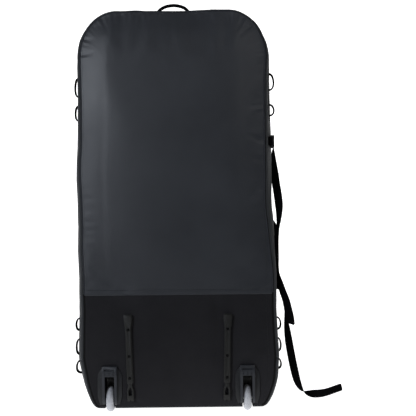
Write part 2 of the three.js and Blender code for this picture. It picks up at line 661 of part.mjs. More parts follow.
loopWebbing('loops_right_upper', 1, [[870, 920], [950, 1000]], 297);
loopWebbing('loops_right_lower', 1, [[122, 150], [174, 212], [239, 274]], 304);
sideAnchor();
sideStrap('upper_strap_rear', UPPER_STRAP_Z, -126, -72);
sideStrap('upper_strap_front', UPPER_STRAP_Z, -70, 130);
sideStrap('lower_strap_rear', LOWER_STRAP_Z, -124, 64);
sideStrap('lower_strap_front', LOWER_STRAP_Z, 66, 130);
buckle('upper', UPPER_STRAP_Z, -118, 292);
buckle('lower', LOWER_STRAP_Z, 42, 297);
strapTail('strap_tail_upper', UPPER_TAIL, 48);
strapTail('strap_tail_lower', LOWER_TAIL, 52);

export default bag;
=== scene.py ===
# The looks of the wheeled board bag: cloth, webbing, moulded parts, wheels and the studio.
# Metres, +Z up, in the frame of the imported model. The rear face looks along -Y.
import math

import bmesh
import bpy
import numpy as np
from mathutils import Matrix, Vector, noise


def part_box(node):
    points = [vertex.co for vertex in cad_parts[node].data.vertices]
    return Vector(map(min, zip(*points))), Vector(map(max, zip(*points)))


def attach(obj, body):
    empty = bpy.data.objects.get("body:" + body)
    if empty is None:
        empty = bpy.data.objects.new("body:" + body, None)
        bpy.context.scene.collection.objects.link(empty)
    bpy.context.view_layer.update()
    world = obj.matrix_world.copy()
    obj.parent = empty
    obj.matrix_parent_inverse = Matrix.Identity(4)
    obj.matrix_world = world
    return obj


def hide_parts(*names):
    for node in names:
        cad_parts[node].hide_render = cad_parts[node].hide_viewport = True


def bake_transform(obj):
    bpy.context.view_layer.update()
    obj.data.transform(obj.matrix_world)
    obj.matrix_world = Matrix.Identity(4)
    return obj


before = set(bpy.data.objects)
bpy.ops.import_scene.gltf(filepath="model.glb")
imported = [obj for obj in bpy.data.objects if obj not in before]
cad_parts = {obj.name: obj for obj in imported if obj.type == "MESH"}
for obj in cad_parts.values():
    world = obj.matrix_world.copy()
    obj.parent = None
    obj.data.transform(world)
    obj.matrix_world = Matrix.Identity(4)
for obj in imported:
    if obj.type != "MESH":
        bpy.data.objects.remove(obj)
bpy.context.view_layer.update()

TAU = 2 * math.pi
MM = 0.001


# ---- sizes, read from the frame -----------------------------------------------------------
def low(node):
    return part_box(node)[0]


def high(node):
    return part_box(node)[1]


REAR = low("rear_panel_upper").y
FRONT = high("front_border").y
BASE = low("base_panel").z
CROWN = high("top_panel").z
WAIST = high("side_panel_right").x
WAIST_Z = 0.160
SHOULDER = high("top_panel").x
SHOULDER_Z = low("top_panel").z
SEAM_IN = WAIST - high("piping_rear").x
SEAM_IN_HIGH = 0.010
SEAM_TOP = high("piping_rear").z
SEAM_BASE = low("piping_front").z
BASE_HALF = 0.247
CORNER_RX = 0.124
SPLIT = low("rear_panel_upper").z
LEAN = 0.0113                   # the soft body leans this much to the left above the split
WALL = 5.5 * MM
PLY = 1.6 * MM                  # webbing thickness
WEBBING = 25 * MM
MID_Y = (REAR + FRONT) / 2


# ---- camera -------------------------------------------------------------------------------
# Level, behind the bag and a little to the right of its middle.
VIEW_DISTANCE = 2.70
VIEW_X = 0.0923
VIEW_Z = 0.602
VIEW_WIDTH = 1.227              # what the frame takes in at the rear face
VIEW_ROLL = math.radians(0.65)


def make_camera():
    data = bpy.data.cameras.new("camera")
    data.sensor_width = 36
    data.lens = 36 * VIEW_DISTANCE / VIEW_WIDTH
    camera = bpy.data.objects.new("camera", data)
    bpy.context.scene.collection.objects.link(camera)
    camera.location = (VIEW_X, REAR - VIEW_DISTANCE, VIEW_Z)
    camera.rotation_euler = (math.pi / 2, VIEW_ROLL, 0)
    bpy.context.scene.camera = camera


make_camera()


# ---- mesh helpers -------------------------------------------------------------------------
def add_object(name, verts, faces, material, uv=None, smooth=True):
    """A mesh object; uv holds one (u, v) pair in metres for each vertex."""
    mesh = bpy.data.meshes.new(name)
    mesh.from_pydata([tuple(v) for v in verts], [], [tuple(int(k) for k in f) for f in faces])
    if uv is not None:
        layer = mesh.uv_layers.new(name="cloth")
        loops = np.empty(len(mesh.loops), int)
        mesh.loops.foreach_get("vertex_index", loops)
        layer.data.foreach_set("uv", np.asarray(uv, float)[loops].ravel())
    mesh.validate()
    mesh.polygons.foreach_set("use_smooth", [smooth] * len(mesh.polygons))
    obj = bpy.data.objects.new(name, mesh)
    bpy.context.scene.collection.objects.link(obj)
    if material is not None:
        obj.data.materials.append(material)
    return obj


def bake(obj):
    """Applies the object's modifiers to its mesh."""
    graph = bpy.context.evaluated_depsgraph_get()
    mesh = bpy.data.meshes.new_from_object(obj.evaluated_get(graph))
    old = obj.data
    obj.modifiers.clear()
    obj.data = mesh
    bpy.data.meshes.remove(old)
    return obj


def join(name, objects):
    """Joins the objects' meshes, in order, into one new object."""
    first = objects[0]
    with bpy.context.temp_override(active_object=first, object=first,
                                   selected_editable_objects=objects,
                                   selected_objects=objects):
        bpy.ops.object.join()
    first.name = name
    first.data.name = name
    return first


def face_outward(obj):
    bm = bmesh.new()
    bm.from_mesh(obj.data)
    bmesh.ops.recalc_face_normals(bm, faces=bm.faces)
    bm.to_mesh(obj.data)
    bm.free()
    return obj


def sharpen(obj, degrees=38):
    obj.data.polygons.foreach_set("use_smooth", [True] * len(obj.data.polygons))
    obj.data.set_sharp_from_angle(angle=math.radians(degrees))
    return obj


def tube(name, points, radius, material, sides=10, closed=False, stretch=None):
    """A round rod along the points; closed joins its ends. UVs run along and round it."""
    points = [Vector(p) for p in points]
    count = len(points)
    verts, uv, along = [], [], 0.0
    up = Vector((0, 1, 0.001)).normalized() if stretch is None else Vector(stretch)
    for i, p in enumerate(points):
        before = points[(i - 1) % count] if closed or i else p
        after = points[(i + 1) % count] if closed or i + 1 < count else p
        tangent = (after - before).normalized()
        side = tangent.cross(up).normalized()
        other = side.cross(tangent)
        if i:
            along += (p - points[i - 1]).length
        r = radius(i / (count - 1)) if callable(radius) else radius
        for k in range(sides):
            a = TAU * k / sides
            verts.append(p + side * (r * math.cos(a)) + other * (r * math.sin(a)))
            uv.append((along, TAU * r * k / sides))
    faces = []
    for i in range(count if closed else count - 1):
        for k in range(sides):
            a, b = i * sides + k, i * sides + (k + 1) % sides
            c, d = ((i + 1) % count) * sides + (k + 1) % sides, ((i + 1) % count) * sides + k
            faces.append((a, d, c, b))
    if not closed:
        faces.append(tuple(range(sides)))
        faces.append(tuple(reversed(range((count - 1) * sides, count * sides))))
    return face_outward(add_object(name, verts, faces, material, uv))


def curve_through(points):
    """A Catmull-Rom curve through the given points, 24 steps to a span."""
    p = [Vector(q) for q in points]
    p = [2 * p[0] - p[1]] + p + [2 * p[-1] - p[-2]]
    dense = []
    for i in range(1, len(p) - 2):
        for k in range(24):
            t = k / 24
            a = 2 * p[i]
            b = p[i + 1] - p[i - 1]
            c = 2 * p[i - 1] - 5 * p[i] + 4 * p[i + 1] - p[i + 2]
            d = -p[i - 1] + 3 * p[i] - 3 * p[i + 1] + p[i + 2]
            dense.append(0.5 * (a + b * t + c * t * t + d * t ** 3))
    dense.append(p[-2])
    return dense


def evenly(points, count, values=None):
    """count evenly spaced points along a line, or the values that go with such points."""
    steps = [0.0]
    for a, b in zip(points, points[1:]):
        steps.append(steps[-1] + (Vector(b) - Vector(a)).length)
    wanted = np.linspace(0, steps[-1], count)
    array = np.array([tuple(q) for q in (points if values is None else values)])
    return [Vector(tuple(np.interp(w, steps, array[:, k]) for k in range(3))) for w in wanted]


def smooth_path(points, count):
    return evenly(curve_through(points), count)


def ribbon(name, points, across, material, width=WEBBING, ply=PLY, slant=0.0):
    """Flat webbing: rounded edges, a row of points, and the direction across it at each."""
    t = ply / 2
    count, size = len(points), 12

    def section(half):
        top = [(-half, 0.0), (-half + t * 0.6, t * 0.8), (-half + t * 2, t), (0, t * 0.86),
               (half - t * 2, t), (half - t * 0.6, t * 0.8)]
        return top + [(-a, -b) for a, b in top]

    verts, uv, along = [], [], 0.0
    for i, p in enumerate(points):
        before, after = points[max(i - 1, 0)], points[min(i + 1, count - 1)]
        tangent = (after - before).normalized()
        wide = Vector(across[i])
        wide = (wide - tangent * wide.dot(tangent)).normalized()
        thick = tangent.cross(wide)
        if i:
            along += (p - points[i - 1]).length
        half = (width(i / (count - 1)) if callable(width) else width) / 2
        lean = slant * smoothstep(1 - (count - 1 - i) / 3)
        if slant and i == count - 1:
            half *= 0.74
        for a, b in section(half):
            verts.append(p + wide * a + thick * b + tangent * (a * lean))
            uv.append((along, a + (0.5 if b < 0 else 0.0)))
    faces = [tuple(range(size)), tuple(reversed(range((count - 1) * size, count * size)))]
    for i in range(count - 1):
        for k in range(size):
            a, b = i * size + k, i * size + (k + 1) % size
            faces.append((a, a + size, b + size, b))
    return face_outward(add_object(name, verts, faces, material, uv))


def lathe(name, profile, centre, axis, material, sides=72):
    """A turned piece: profile of (radius, along axis), closed on itself or on the axis."""
    axis = Vector(axis).normalized()
    first = axis.orthogonal().normalized()
    second = axis.cross(first)
    centre = Vector(centre)
    verts, faces = [], []
    for k in range(sides):
        a = TAU * k / sides
        out = first * math.cos(a) + second * math.sin(a)
        verts += [centre + out * r + axis * h for r, h in profile]
    size = len(profile)
    on_axis = profile[0][0] < 1e-6 and profile[-1][0] < 1e-6
    for k in range(sides):
        for j in range(size - 1 if on_axis else size):
            a, b = k * size + j, k * size + (j + 1) % size
            n = ((k + 1) % sides) * size
            faces.append((a, b, n + (j + 1) % size, n + j))
    obj = add_object(name, verts, faces, material)
    bm = bmesh.new()
    bm.from_mesh(obj.data)
    bmesh.ops.remove_doubles(bm, verts=bm.verts, dist=1e-6)
    bmesh.ops.recalc_face_normals(bm, faces=bm.faces)
    bm.to_mesh(obj.data)
    bm.free()
    return sharpen(obj)


def block(name, lo, hi, material=None):
    bm = bmesh.new()
    bmesh.ops.create_cube(bm, size=1)
    lo, hi = Vector(lo), Vector(hi)
    scale = Matrix.Diagonal((hi - lo).to_4d())
    bmesh.ops.transform(bm, matrix=Matrix.Translation((lo + hi) / 2) @ scale, verts=bm.verts)
    mesh = bpy.data.meshes.new(name)
    bm.to_mesh(mesh)
    bm.free()
    obj = bpy.data.objects.new(name, mesh)
    bpy.context.scene.collection.objects.link(obj)
    if material is not None:
        mesh.materials.append(material)
    return obj


def boolean(obj, cutter, operation="DIFFERENCE"):
    modifier = obj.modifiers.new("cut", "BOOLEAN")
    modifier.operation = operation
    modifier.solver = "EXACT"
    modifier.object = cutter
    bake(obj)
    bpy.data.objects.remove(cutter)
    return obj


def refined(node, body, material, bevel=0.8 * MM, segments=3, degrees=32):
    """A moulded piece of the CAD node's own shape, with rounded edges."""
    obj = bpy.data.objects.new("shaped_" + node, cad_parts[node].data.copy())
    bpy.context.scene.collection.objects.link(obj)
    obj.data.materials.clear()
    obj.data.materials.append(material)
    bm = bmesh.new()
    bm.from_mesh(obj.data)
    bmesh.ops.remove_doubles(bm, verts=bm.verts, dist=2e-6)
    bmesh.ops.dissolve_limit(bm, angle_limit=math.radians(1.5), verts=bm.verts, edges=bm.edges)
    bm.to_mesh(obj.data)
    bm.free()
    modifier = obj.modifiers.new("edges", "BEVEL")
    modifier.width = bevel
    modifier.segments = segments
    modifier.limit_method = "ANGLE"
    modifier.angle_limit = math.radians(degrees)
    modifier.use_clamp_overlap = True
    bake(obj)
    sharpen(obj)
    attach(obj, body)
    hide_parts(node)
    return obj


# ---- materials ----------------------------------------------------------------------------
class Nodes:
    """A short way to wire a material's nodes."""

    def __init__(self, name):
        self.material = bpy.data.materials.new(name)
        self.material.use_nodes = True
        self.tree = self.material.node_tree
        self.shader = self.tree.nodes["Principled BSDF"]

    def node(self, kind, inputs=None, **settings):
        node = self.tree.nodes.new(kind)
        for key, value in settings.items():
            setattr(node, key, value)
        for key, value in (inputs or {}).items():
            if isinstance(value, bpy.types.NodeSocket):
                self.tree.links.new(value, node.inputs[key])
            else:
                node.inputs[key].default_value = value
        return node

    def math(self, operation, a, b=0.0):
        return self.node("ShaderNodeMath", {0: a, 1: b}, operation=operation).outputs[0]

    def noise(self, vector, scale, detail=3.0, roughness=0.5):
        node = self.node("ShaderNodeTexNoise", {"Vector": vector, "Scale": scale,
                                                "Detail": detail, "Roughness": roughness})
        return node.outputs["Fac"]

    def stretched(self, vector, scale):
        return self.node("ShaderNodeMapping", {"Vector": vector, "Scale": scale}).outputs[0]

    def ramp(self, value, low_in, high_in, low_out, high_out):
        return self.node("ShaderNodeMapRange", {
            "Value": value, "From Min": low_in, "From Max": high_in,
            "To Min": low_out, "To Max": high_out}).outputs[0]

    def mix(self, factor, a, b):
        node = self.node("ShaderNodeMix", data_type="RGBA")
        for socket, value in ((node.inputs[0], factor), (node.inputs[6], a), (node.inputs[7], b)):
            if isinstance(value, bpy.types.NodeSocket):
                self.tree.links.new(value, socket)
            else:
                socket.default_value = value
        return node.outputs[2]

    def bump(self, height, strength, distance, normal=None):
        inputs = {"Height": height, "Strength": strength, "Distance": distance}
        if normal is not None:
            inputs["Normal"] = normal
        return self.node("ShaderNodeBump", inputs).outputs[0]

    def set(self, **sockets):
        for key, value in sockets.items():
            socket = self.shader.inputs[key.replace("_", " ")]
            if isinstance(value, bpy.types.NodeSocket):
                self.tree.links.new(value, socket)
            else:
                socket.default_value = value

    def place(self):
        return self.node("ShaderNodeTexCoord").outputs["Object"]

    def cloth(self):
        return self.node("ShaderNodeUVMap", uv_map="cloth").outputs[0]


def rgba(r, g, b):
    return (r, g, b, 1.0)


def shade(colour, by):
    return rgba(*(c * by for c in colour[:3]))


def weave(n, pitch, twill=0.0):
    """Height of a plain weave, or of a slanted one, in the cloth's own metres."""
    split = n.node("ShaderNodeSeparateXYZ", {0: n.cloth()})
    u, v = split.outputs[0], split.outputs[1]
    lean = n.math("ADD", u, n.math("MULTIPLY", v, twill))
    warp = n.math("SINE", n.math("MULTIPLY", lean, TAU / pitch))
    weft = n.math("SINE", n.math("MULTIPLY", v, TAU / pitch))
    return n.math("MULTIPLY", warp, weft)


def fabric(name, colour, roughness, pitch, weave_depth, sheen, crumple=0.0, lint=0.0,
           specular=0.02):
    n = Nodes(name)
    place = n.place()
    broad = n.noise(place, 5.0, 4.0, 0.55)
    fine = n.noise(place, 260.0, 2.0)
    tint = n.mix(n.ramp(broad, 0.3, 0.7, 0.0, 1.0), shade(colour, 0.86), shade(colour, 1.14))
    woven = weave(n, pitch)
    tint = n.mix(n.ramp(woven, -1, 1, 0.0, 0.30), tint, shade(colour, 0.55))
    if lint:
        speck = n.ramp(n.noise(place, 900.0, 1.0), 0.66, 0.78, 0.0, lint)
        tint = n.mix(speck, tint, rgba(0.16, 0.16, 0.17))
    normal = n.bump(woven, 0.5, weave_depth)
    normal = n.bump(fine, 0.25, 0.10 * MM, normal)
    if crumple:
        soft = n.noise(place, 22.0, 3.0, 0.6)
        normal = n.bump(soft, 0.5, crumple, normal)
    n.set(Base_Color=tint, Normal=normal,
          Roughness=n.ramp(broad, 0.3, 0.7, roughness - 0.04, roughness + 0.05))
    n.shader.inputs["Sheen Weight"].default_value = sheen
    n.shader.inputs["Sheen Roughness"].default_value = 0.45
    n.shader.inputs["Specular IOR Level"].default_value = specular
    return n.material


def webbing_material(name, colour, lower=None):
    """Ribs across the band and a little fuzz. A lower colour takes over below the split."""
    n = Nodes(name)
    split = n.node("ShaderNodeSeparateXYZ", {0: n.cloth()})
    along, across = split.outputs[0], split.outputs[1]
    chevron = n.math("ABSOLUTE", n.math("SINE", n.math("MULTIPLY", across, TAU / (9 * MM))))
    rib = n.math("SINE", n.math("ADD", n.math("MULTIPLY", along, TAU / (2.0 * MM)),
                                n.math("MULTIPLY", chevron, 3.0)))
    fuzz = n.noise(n.place(), 700.0, 2.0)
    tint = n.mix(n.ramp(rib, -1, 1, 0, 1), shade(colour, 0.55), shade(colour, 1.35))
    tint = n.mix(n.ramp(fuzz, 0.55, 0.8, 0, 0.35), tint, shade(colour, 2.6))
    if lower:
        height = n.node("ShaderNodeSeparateXYZ", {0: n.place()}).outputs[2]
        above = n.ramp(height, SPLIT - 1 * MM, SPLIT + 1 * MM, 0, 1)
        tint = n.mix(above, n.mix(n.ramp(rib, -1, 1, 0, 1), shade(lower, 0.6),
                                  shade(lower, 1.3)), tint)
    normal = n.bump(rib, 0.7, 0.25 * MM)
    n.set(Base_Color=tint, Normal=n.bump(fuzz, 0.3, 0.1 * MM, normal), Roughness=0.72)
    n.shader.inputs["Sheen Weight"].default_value = 0.0
    n.shader.inputs["Specular IOR Level"].default_value = 0.0
    return n.material


def moulded(name, colour, roughness, grain=0.06 * MM, scuff=0.25, specular=0.5, painted_recess_shade=None):
    """Grained plastic. (near, far, by) paints shade into recesses: between two depths it darkens
    by a factor.
    """
    n = Nodes(name)
    place = n.place()
    grit = n.noise(place, 1400.0, 2.0)
    cloud = n.noise(place, 30.0, 4.0, 0.6)
    scratches = n.noise(n.stretched(place, (60.0, 60.0, 900.0)), 1.0, 3.0, 0.7)
    tint = n.mix(n.ramp(cloud, 0.3, 0.7, 0, 1), shade(colour, 0.85), shade(colour, 1.15))
    marks = n.ramp(scratches, 0.60, 0.74, 0.0, scuff)
    tint = n.mix(marks, tint, shade(colour, 2.4))
    # painted shade: beyond the far depth the colour is darkened by the given factor
    if painted_recess_shade:
        depth = n.node("ShaderNodeSeparateXYZ", {0: place}).outputs[1]
        tint = n.mix(n.ramp(depth, painted_recess_shade[0], painted_recess_shade[1], 0.0, 1.0), tint, shade(colour, painted_recess_shade[2]))
    n.set(Base_Color=tint, Normal=n.bump(grit, 0.4, grain),
          Roughness=n.ramp(cloud, 0.3, 0.7, roughness - 0.05, roughness + 0.07))
    n.shader.inputs["Specular IOR Level"].default_value = specular
    return n.material


def metal(name, colour, roughness):
    n = Nodes(name)
    place = n.place()
    brushed = n.noise(n.stretched(place, (900.0, 120.0, 900.0)), 1.0, 2.0)
    tint = n.mix(n.ramp(brushed, 0.3, 0.7, 0, 1), shade(colour, 0.8), shade(colour, 1.1))
    n.set(Base_Color=tint, Metallic=1.0, Normal=n.bump(brushed, 0.15, 0.03 * MM),
          Roughness=n.ramp(brushed, 0.3, 0.7, roughness - 0.06, roughness + 0.08))
    return n.material


def urethane(name, colour):
    """A cast tyre: pale, a little translucent, dusty in patches on the tread."""
    n = Nodes(name)
    place = n.place()
    dust = n.noise(place, 45.0, 5.0, 0.65)
    fleck = n.noise(place, 420.0, 2.0)
    tint = n.mix(n.ramp(dust, 0.42, 0.7, 0, 0.6), colour, shade(colour, 0.55))
    tint = n.mix(n.ramp(fleck, 0.62, 0.75, 0, 0.5), tint, shade(colour, 0.4))
    n.set(Base_Color=tint, Normal=n.bump(dust, 0.2, 0.2 * MM),
          Roughness=n.ramp(dust, 0.3, 0.7, 0.28, 0.5))
    n.shader.inputs["Subsurface Weight"].default_value = 0.25
    n.shader.inputs["Subsurface Radius"].default_value = (0.004, 0.004, 0.004)
    n.shader.inputs["Subsurface Scale"].default_value = 1.0
    return n.material


CHARCOAL = rgba(0.0295, 0.0320, 0.0375)
BLACK = rgba(0.0215, 0.0210, 0.0230)
OLIVE = rgba(0.0135, 0.0135, 0.0110)
COATED = fabric("coated_cloth", CHARCOAL, 0.345, 0.7 * MM, 0.05 * MM, 0.04, crumple=0.6 * MM,
                specular=0.30)
HEAVY = fabric("heavy_cloth", BLACK, 0.70, 1.1 * MM, 0.18 * MM, 0.02, crumple=0.4 * MM,
               lint=0.08)
SIDE = fabric("side_cloth", OLIVE, 0.70, 1.1 * MM, 0.18 * MM, 0.0, crumple=0.5 * MM,
              lint=0.06, specular=0.0)
LINING = fabric("lining", rgba(0.05, 0.052, 0.055), 0.6, 0.8 * MM, 0.08 * MM, 0.1)
BAND = webbing_material("webbing", rgba(0.0038, 0.0038, 0.0042))
BINDING = webbing_material("binding", rgba(0.007, 0.007, 0.008))
PIPING = webbing_material("piping_tape", rgba(0.040, 0.042, 0.048), rgba(0.013, 0.013, 0.013))
THREAD = fabric("thread", rgba(0.035, 0.035, 0.036), 0.6, 0.4 * MM, 0.05 * MM, 0.1)
# Painted shade: the housing darkens to 35 % where it sits less than 4 to 5 mm proud of the rear
# face, so its recessed parts read as shaded while its raised front keeps the full colour.
HOUSING = moulded("housing_plastic", rgba(0.014, 0.016, 0.021), 0.42, specular=0.35,
                  painted_recess_shade=(REAR - 5.0 * MM, REAR - 4.0 * MM, 0.35))
RAIL = moulded("rail_plastic", rgba(0.0085, 0.0085, 0.0075), 0.42, scuff=0.3, specular=0.32)
BUCKLE = moulded("buckle_plastic", rgba(0.0070, 0.0070, 0.0075), 0.38, scuff=0.1, specular=0.3)
COIL = moulded("zip_coil", rgba(0.010, 0.010, 0.010), 0.35, scuff=0.0)
SHEET = moulded("board_sheet", rgba(0.02, 0.02, 0.02), 0.5)
RUBBER = moulded("foot_rubber", rgba(0.014, 0.014, 0.014), 0.7, grain=0.15 * MM)
TYRE = urethane("tyre_urethane", rgba(0.48, 0.49, 0.52))
HUB = moulded("hub_plastic", rgba(0.25, 0.26, 0.27), 0.4, scuff=0.2)
STEEL = metal("plated_steel", rgba(0.55, 0.55, 0.56), 0.30)
DARK_STEEL = moulded("blacked_screw", rgba(0.003, 0.003, 0.003), 0.6, scuff=0.0, specular=0.1)


# ---- how the soft bag stands ---------------------------------------------------------------
def smoothstep(x):
    x = np.clip(x, 0, 1)
    return x * x * (3 - 2 * x)


def wander(values, scale, seed):
    """Smooth noise from -1 to 1 along a line, one value for each."""
    flat = [noise.noise(Vector((v * scale, seed, 0.5 * seed))) for v in np.ravel(values)]
    return np.reshape(flat, np.shape(values)) * 2


def lean_at(z):
    """How far the standing bag has slumped to the left at a height."""
    rise = np.maximum(np.asarray(z, float) - SPLIT, 0)
    return LEAN * rise * rise / (rise + 0.12)


# How far left the left and the right edge sit besides the lean, in mm, at each height.
STANCE = [(0.017, -2.5, -8), (0.050, -1.5, -9.5), (0.085, 0.5, -6), (0.110, 0.5, -3),
          (0.140, 1.5, 1), (0.230, 0.5, 5.5), (0.300, -1, 8), (0.350, 1, 7), (0.400, 0.5, 5),
          (0.480, 4, 5.5), (0.550, 1, 6), (0.600, 3.5, 7), (0.690, 5.5, 6.5), (0.750, 3.5, 6),
          (0.790, -0.5, 5.5), (0.930, -3, 4.5), (1.000, -1, 2), (1.055, -1, -0.5),
          (1.110, 0.5, 1), (1.150, 1, -4), (1.187, 1, -3)]


def drift(z):
    """How far left the right-hand wall has moved at a height."""
    heights, _, right = np.array(STANCE).T
    return float(lean_at(z)) + float(np.interp(z, heights, right)) * MM


def slumped(points):
    """The same points on the bag as it stands: leaning, sagging under its top handle, uneven."""
    p = np.array([tuple(q) for q in points], float)
    x, y, z = p[:, 0].copy(), p[:, 1].copy(), p[:, 2].copy()
    above = smoothstep((z - SPLIT) / 0.15)
    edge = smoothstep((np.abs(x) - 0.12) / 0.12)
    heights, left, right = np.array(STANCE).T
    share = np.where(x < 0, np.interp(z, heights, left), np.interp(z, heights, right))
    p[:, 0] -= lean_at(z) + share * MM * smoothstep((np.abs(x) - 0.05) / 0.18)
    p[:, 0] += 0.0012 * above * edge * wander(z, 9.0, 1.7) * np.sign(x)
    # the rear seam on the right is drawn in at the buckle, and pushed out below the split
    drawn = 0.0045 * smoothstep((1.12 - z) / 0.2) - 0.0160 * smoothstep((0.62 - z) / 0.26)
    near = smoothstep((x - 0.15) / 0.12) * smoothstep((REAR + 0.06 - y) / 0.06)
    p[:, 0] -= drawn * near * smoothstep((z - 0.03) / 0.08)
    top = smoothstep((z - 1.10) / 0.08)
    p[:, 2] -= top * 0.0042 * np.exp(-((x - 0.01) / 0.085) ** 2)
    p[:, 2] += top * 0.0010 * wander(x, 24.0, 5.1)
    return p


# ---- loose strap tails --------------------------------------------------------------------
# Points in metres, and the direction across the webbing at each.
UPPER_TAIL = [
    ((0.3024, -0.063, 0.781), (0.15, 0.99, 0.1)),
    ((0.3012, -0.0645, 0.764), (0.50, 0.87, 0)),
    ((0.3020, -0.068, 0.732), (0.82, 0.57, 0)),
    ((0.3048, -0.072, 0.699), (0.98, 0.20, 0)),
    ((0.3068, -0.076, 0.675), (1, 0.05, 0)),
    ((0.3103, -0.08, 0.651), (1, -0.03, 0)),
    ((0.3134, -0.084, 0.624), (0.99, -0.14, 0)),
    ((0.3146, -0.089, 0.594), (0.81, -0.59, 0)),
    ((0.3118, -0.093, 0.564), (0.5, -0.87, 0)),
    ((0.3085, -0.096, 0.537), (0.21, -0.98, 0)),
    ((0.307, -0.098, 0.504), (0.09, -1, 0)),
    ((0.3065, -0.1, 0.456), (0.03, -1, 0)),
    ((0.3045, -0.101, 0.42), (0.14, -0.99, 0)),
    ((0.305, -0.102, 0.399), (0.37, -0.93, 0)),
    ((0.3105, -0.103, 0.378), (0.67, -0.74, 0)),
    ((0.3193, -0.104, 0.3515), (0.81, -0.59, 0)),
    ((0.3293, -0.105, 0.3245), (0.87, -0.5, 0)),
    ((0.3361, -0.106, 0.295), (0.95, -0.31, 0)),
    ((0.3399, -0.107, 0.271), (0.99, -0.1, 0)),
    ((0.341, -0.1075, 0.253), (1, 0, 0)),
]
LOWER_TAIL = [
    ((0.3065, 0.097, 0.352), (0, 0, 1)),
    ((0.315, 0.095, 0.3515), (0, 0.2, 1)),
    ((0.3245, 0.090, 0.343), (0.6, 0.6, 0.7)),
    ((0.331, 0.085, 0.322), (0.5, 1, 0.3)),
    ((0.334, 0.082, 0.292), (0.1, 1, 0)),
    ((0.336, 0.080, 0.252), (-0.3, 1, 0)),
    ((0.340, 0.077, 0.212), (-0.8, 0.7, 0)),
    ((0.345, 0.074, 0.172), (-1, 0.3, -0.1)),
    ((0.352, 0.069, 0.128), (-1, 0.1, -0.15)),
    ((0.360, 0.063, 0.086), (-1, 0.2, -0.2)),
    ((0.369, 0.056, 0.050), (-0.9, 0.6, -0.3)),
    ((0.383, 0.049, 0.025), (-0.4, 1, -0.1)),
    ((0.402, 0.046, 0.0155), (0, 0.8, 0.55)),
    ((0.424, 0.047, 0.0136), (0, 0.25, 1)),
    ((0.448, 0.057, 0.0134), (0, 0, 1)),
    ((0.472, 0.083, 0.0134), (0, 0, 1)),
    ((0.497, 0.118, 0.0134), (0, 0, 1)),
    ((0.522, 0.152, 0.0134), (0, 0, 1)),
]


def path_length(points):
    return sum((b - a).length for a, b in zip(points, points[1:]))


def strap_tail(tag, stops):
    count = 150
    slack = 1.0 if tag == "upper" else 0.0
    route = [Vector(p) - Vector((slack * drift(p[2]), 0, 0)) for p, _ in stops]
    curve = curve_through(route)
    points = evenly(curve, count)
    across = evenly(curve, count, curve_through([Vector(d).normalized() for _, d in stops]))
    piece = ribbon(tag + "_tail", points, across, BAND, ply=2.0 * MM,
                   slant=0.45 if tag == "upper" else -0.45)
    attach(piece, tag + "_tongue")
    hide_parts("strap_tail_" + tag)
    return piece


strap_tail("upper", UPPER_TAIL)
strap_tail("lower", LOWER_TAIL)


# ---- the bag's outline --------------------------------------------------------------------
def bezier(points, u):
    points = [np.array(p, float) for p in points]
    while len(points) > 1:
        points = [a + (b - a) * u for a, b in zip(points, points[1:])]
    return points[0]


def outline_point(curve, u, seam):
    """(x, z) on the right half. seam is 0 on the bulge at mid-depth, 1 at the seams."""
    inward = SEAM_IN * seam
    floor = BASE + (SEAM_BASE - BASE) * seam
    top = CROWN + (SEAM_TOP - CROWN) * seam
    inward_high = SEAM_IN_HIGH * seam
    end, waist, shoulder = BASE_HALF - inward / 2, WAIST - inward, SHOULDER - inward_high
    if curve == "lower":
        return bezier([(end, floor), (end + 0.017, floor), (waist - 0.012, 0.080),
                       (waist, WAIST_Z)], u)
    if curve == "side":
        return bezier([(waist, WAIST_Z), (waist - 0.003, 0.6), (shoulder, SHOULDER_Z)], u)
    reach = CORNER_RX - 0.7 * inward_high
    angle = u * math.pi / 2
    return np.array((shoulder - reach + reach * math.cos(angle),
                     SHOULDER_Z + (top - SHOULDER_Z) * math.sin(angle)))


def side_u(z):
    """Where along the side curve a height lies."""
    heights = [outline_point("side", u, 1)[1] for u in np.linspace(0, 1, 201)]
    return float(np.interp(z, heights, np.linspace(0, 1, 201)))


def seam_share(y):
    """How far from the bulge to the seam the walls are at a depth."""
    reach = abs(y - MID_Y) / ((FRONT - REAR) / 2)
    return 0.25 * reach ** 2 + 0.75 * reach ** 8


# ---- the padded shell: one closed loft, later cut along its seams --------------------------
COLUMNS = 46
DEPTHS = 20
PANELS = ["rear_upper", "rear_lower", "side_left", "side_right", "crown", "base", "front"]
CLOTHS = [COATED, HEAVY, SIDE, SIDE, SIDE, HEAVY, HEAVY]


def right_stations():
    """(curve, u, panel) up the right wall, from the base run to the top run."""
    stops = [("lower", u) for u in np.linspace(0, 1, 10)[:-1]]
    heights = list(np.linspace(WAIST_Z, SPLIT, 17)[:-1])
    heights += list(np.linspace(SPLIT, SHOULDER_Z, 57)[:-1])
    stops += [("side", side_u(z)) for z in heights]
    return stops + [("upper", u) for u in np.linspace(0, 1, 22)]


def roll_off(gap, width, softness):
    """Rises from 0 on an edge to 1, in a straight facet with a knee at its end."""
    bend = softness * np.logaddexp(0, (1 - gap / width) / softness)
    return 1 - bend / (softness * np.logaddexp(0, 1 / softness))


def half_width(z):
    """Half the rear face's width at a height."""
    stations = right_stations()
    line = np.array([outline_point(c, u, 1) for c, u in stations])
    return np.interp(z, line[:, 1], line[:, 0])


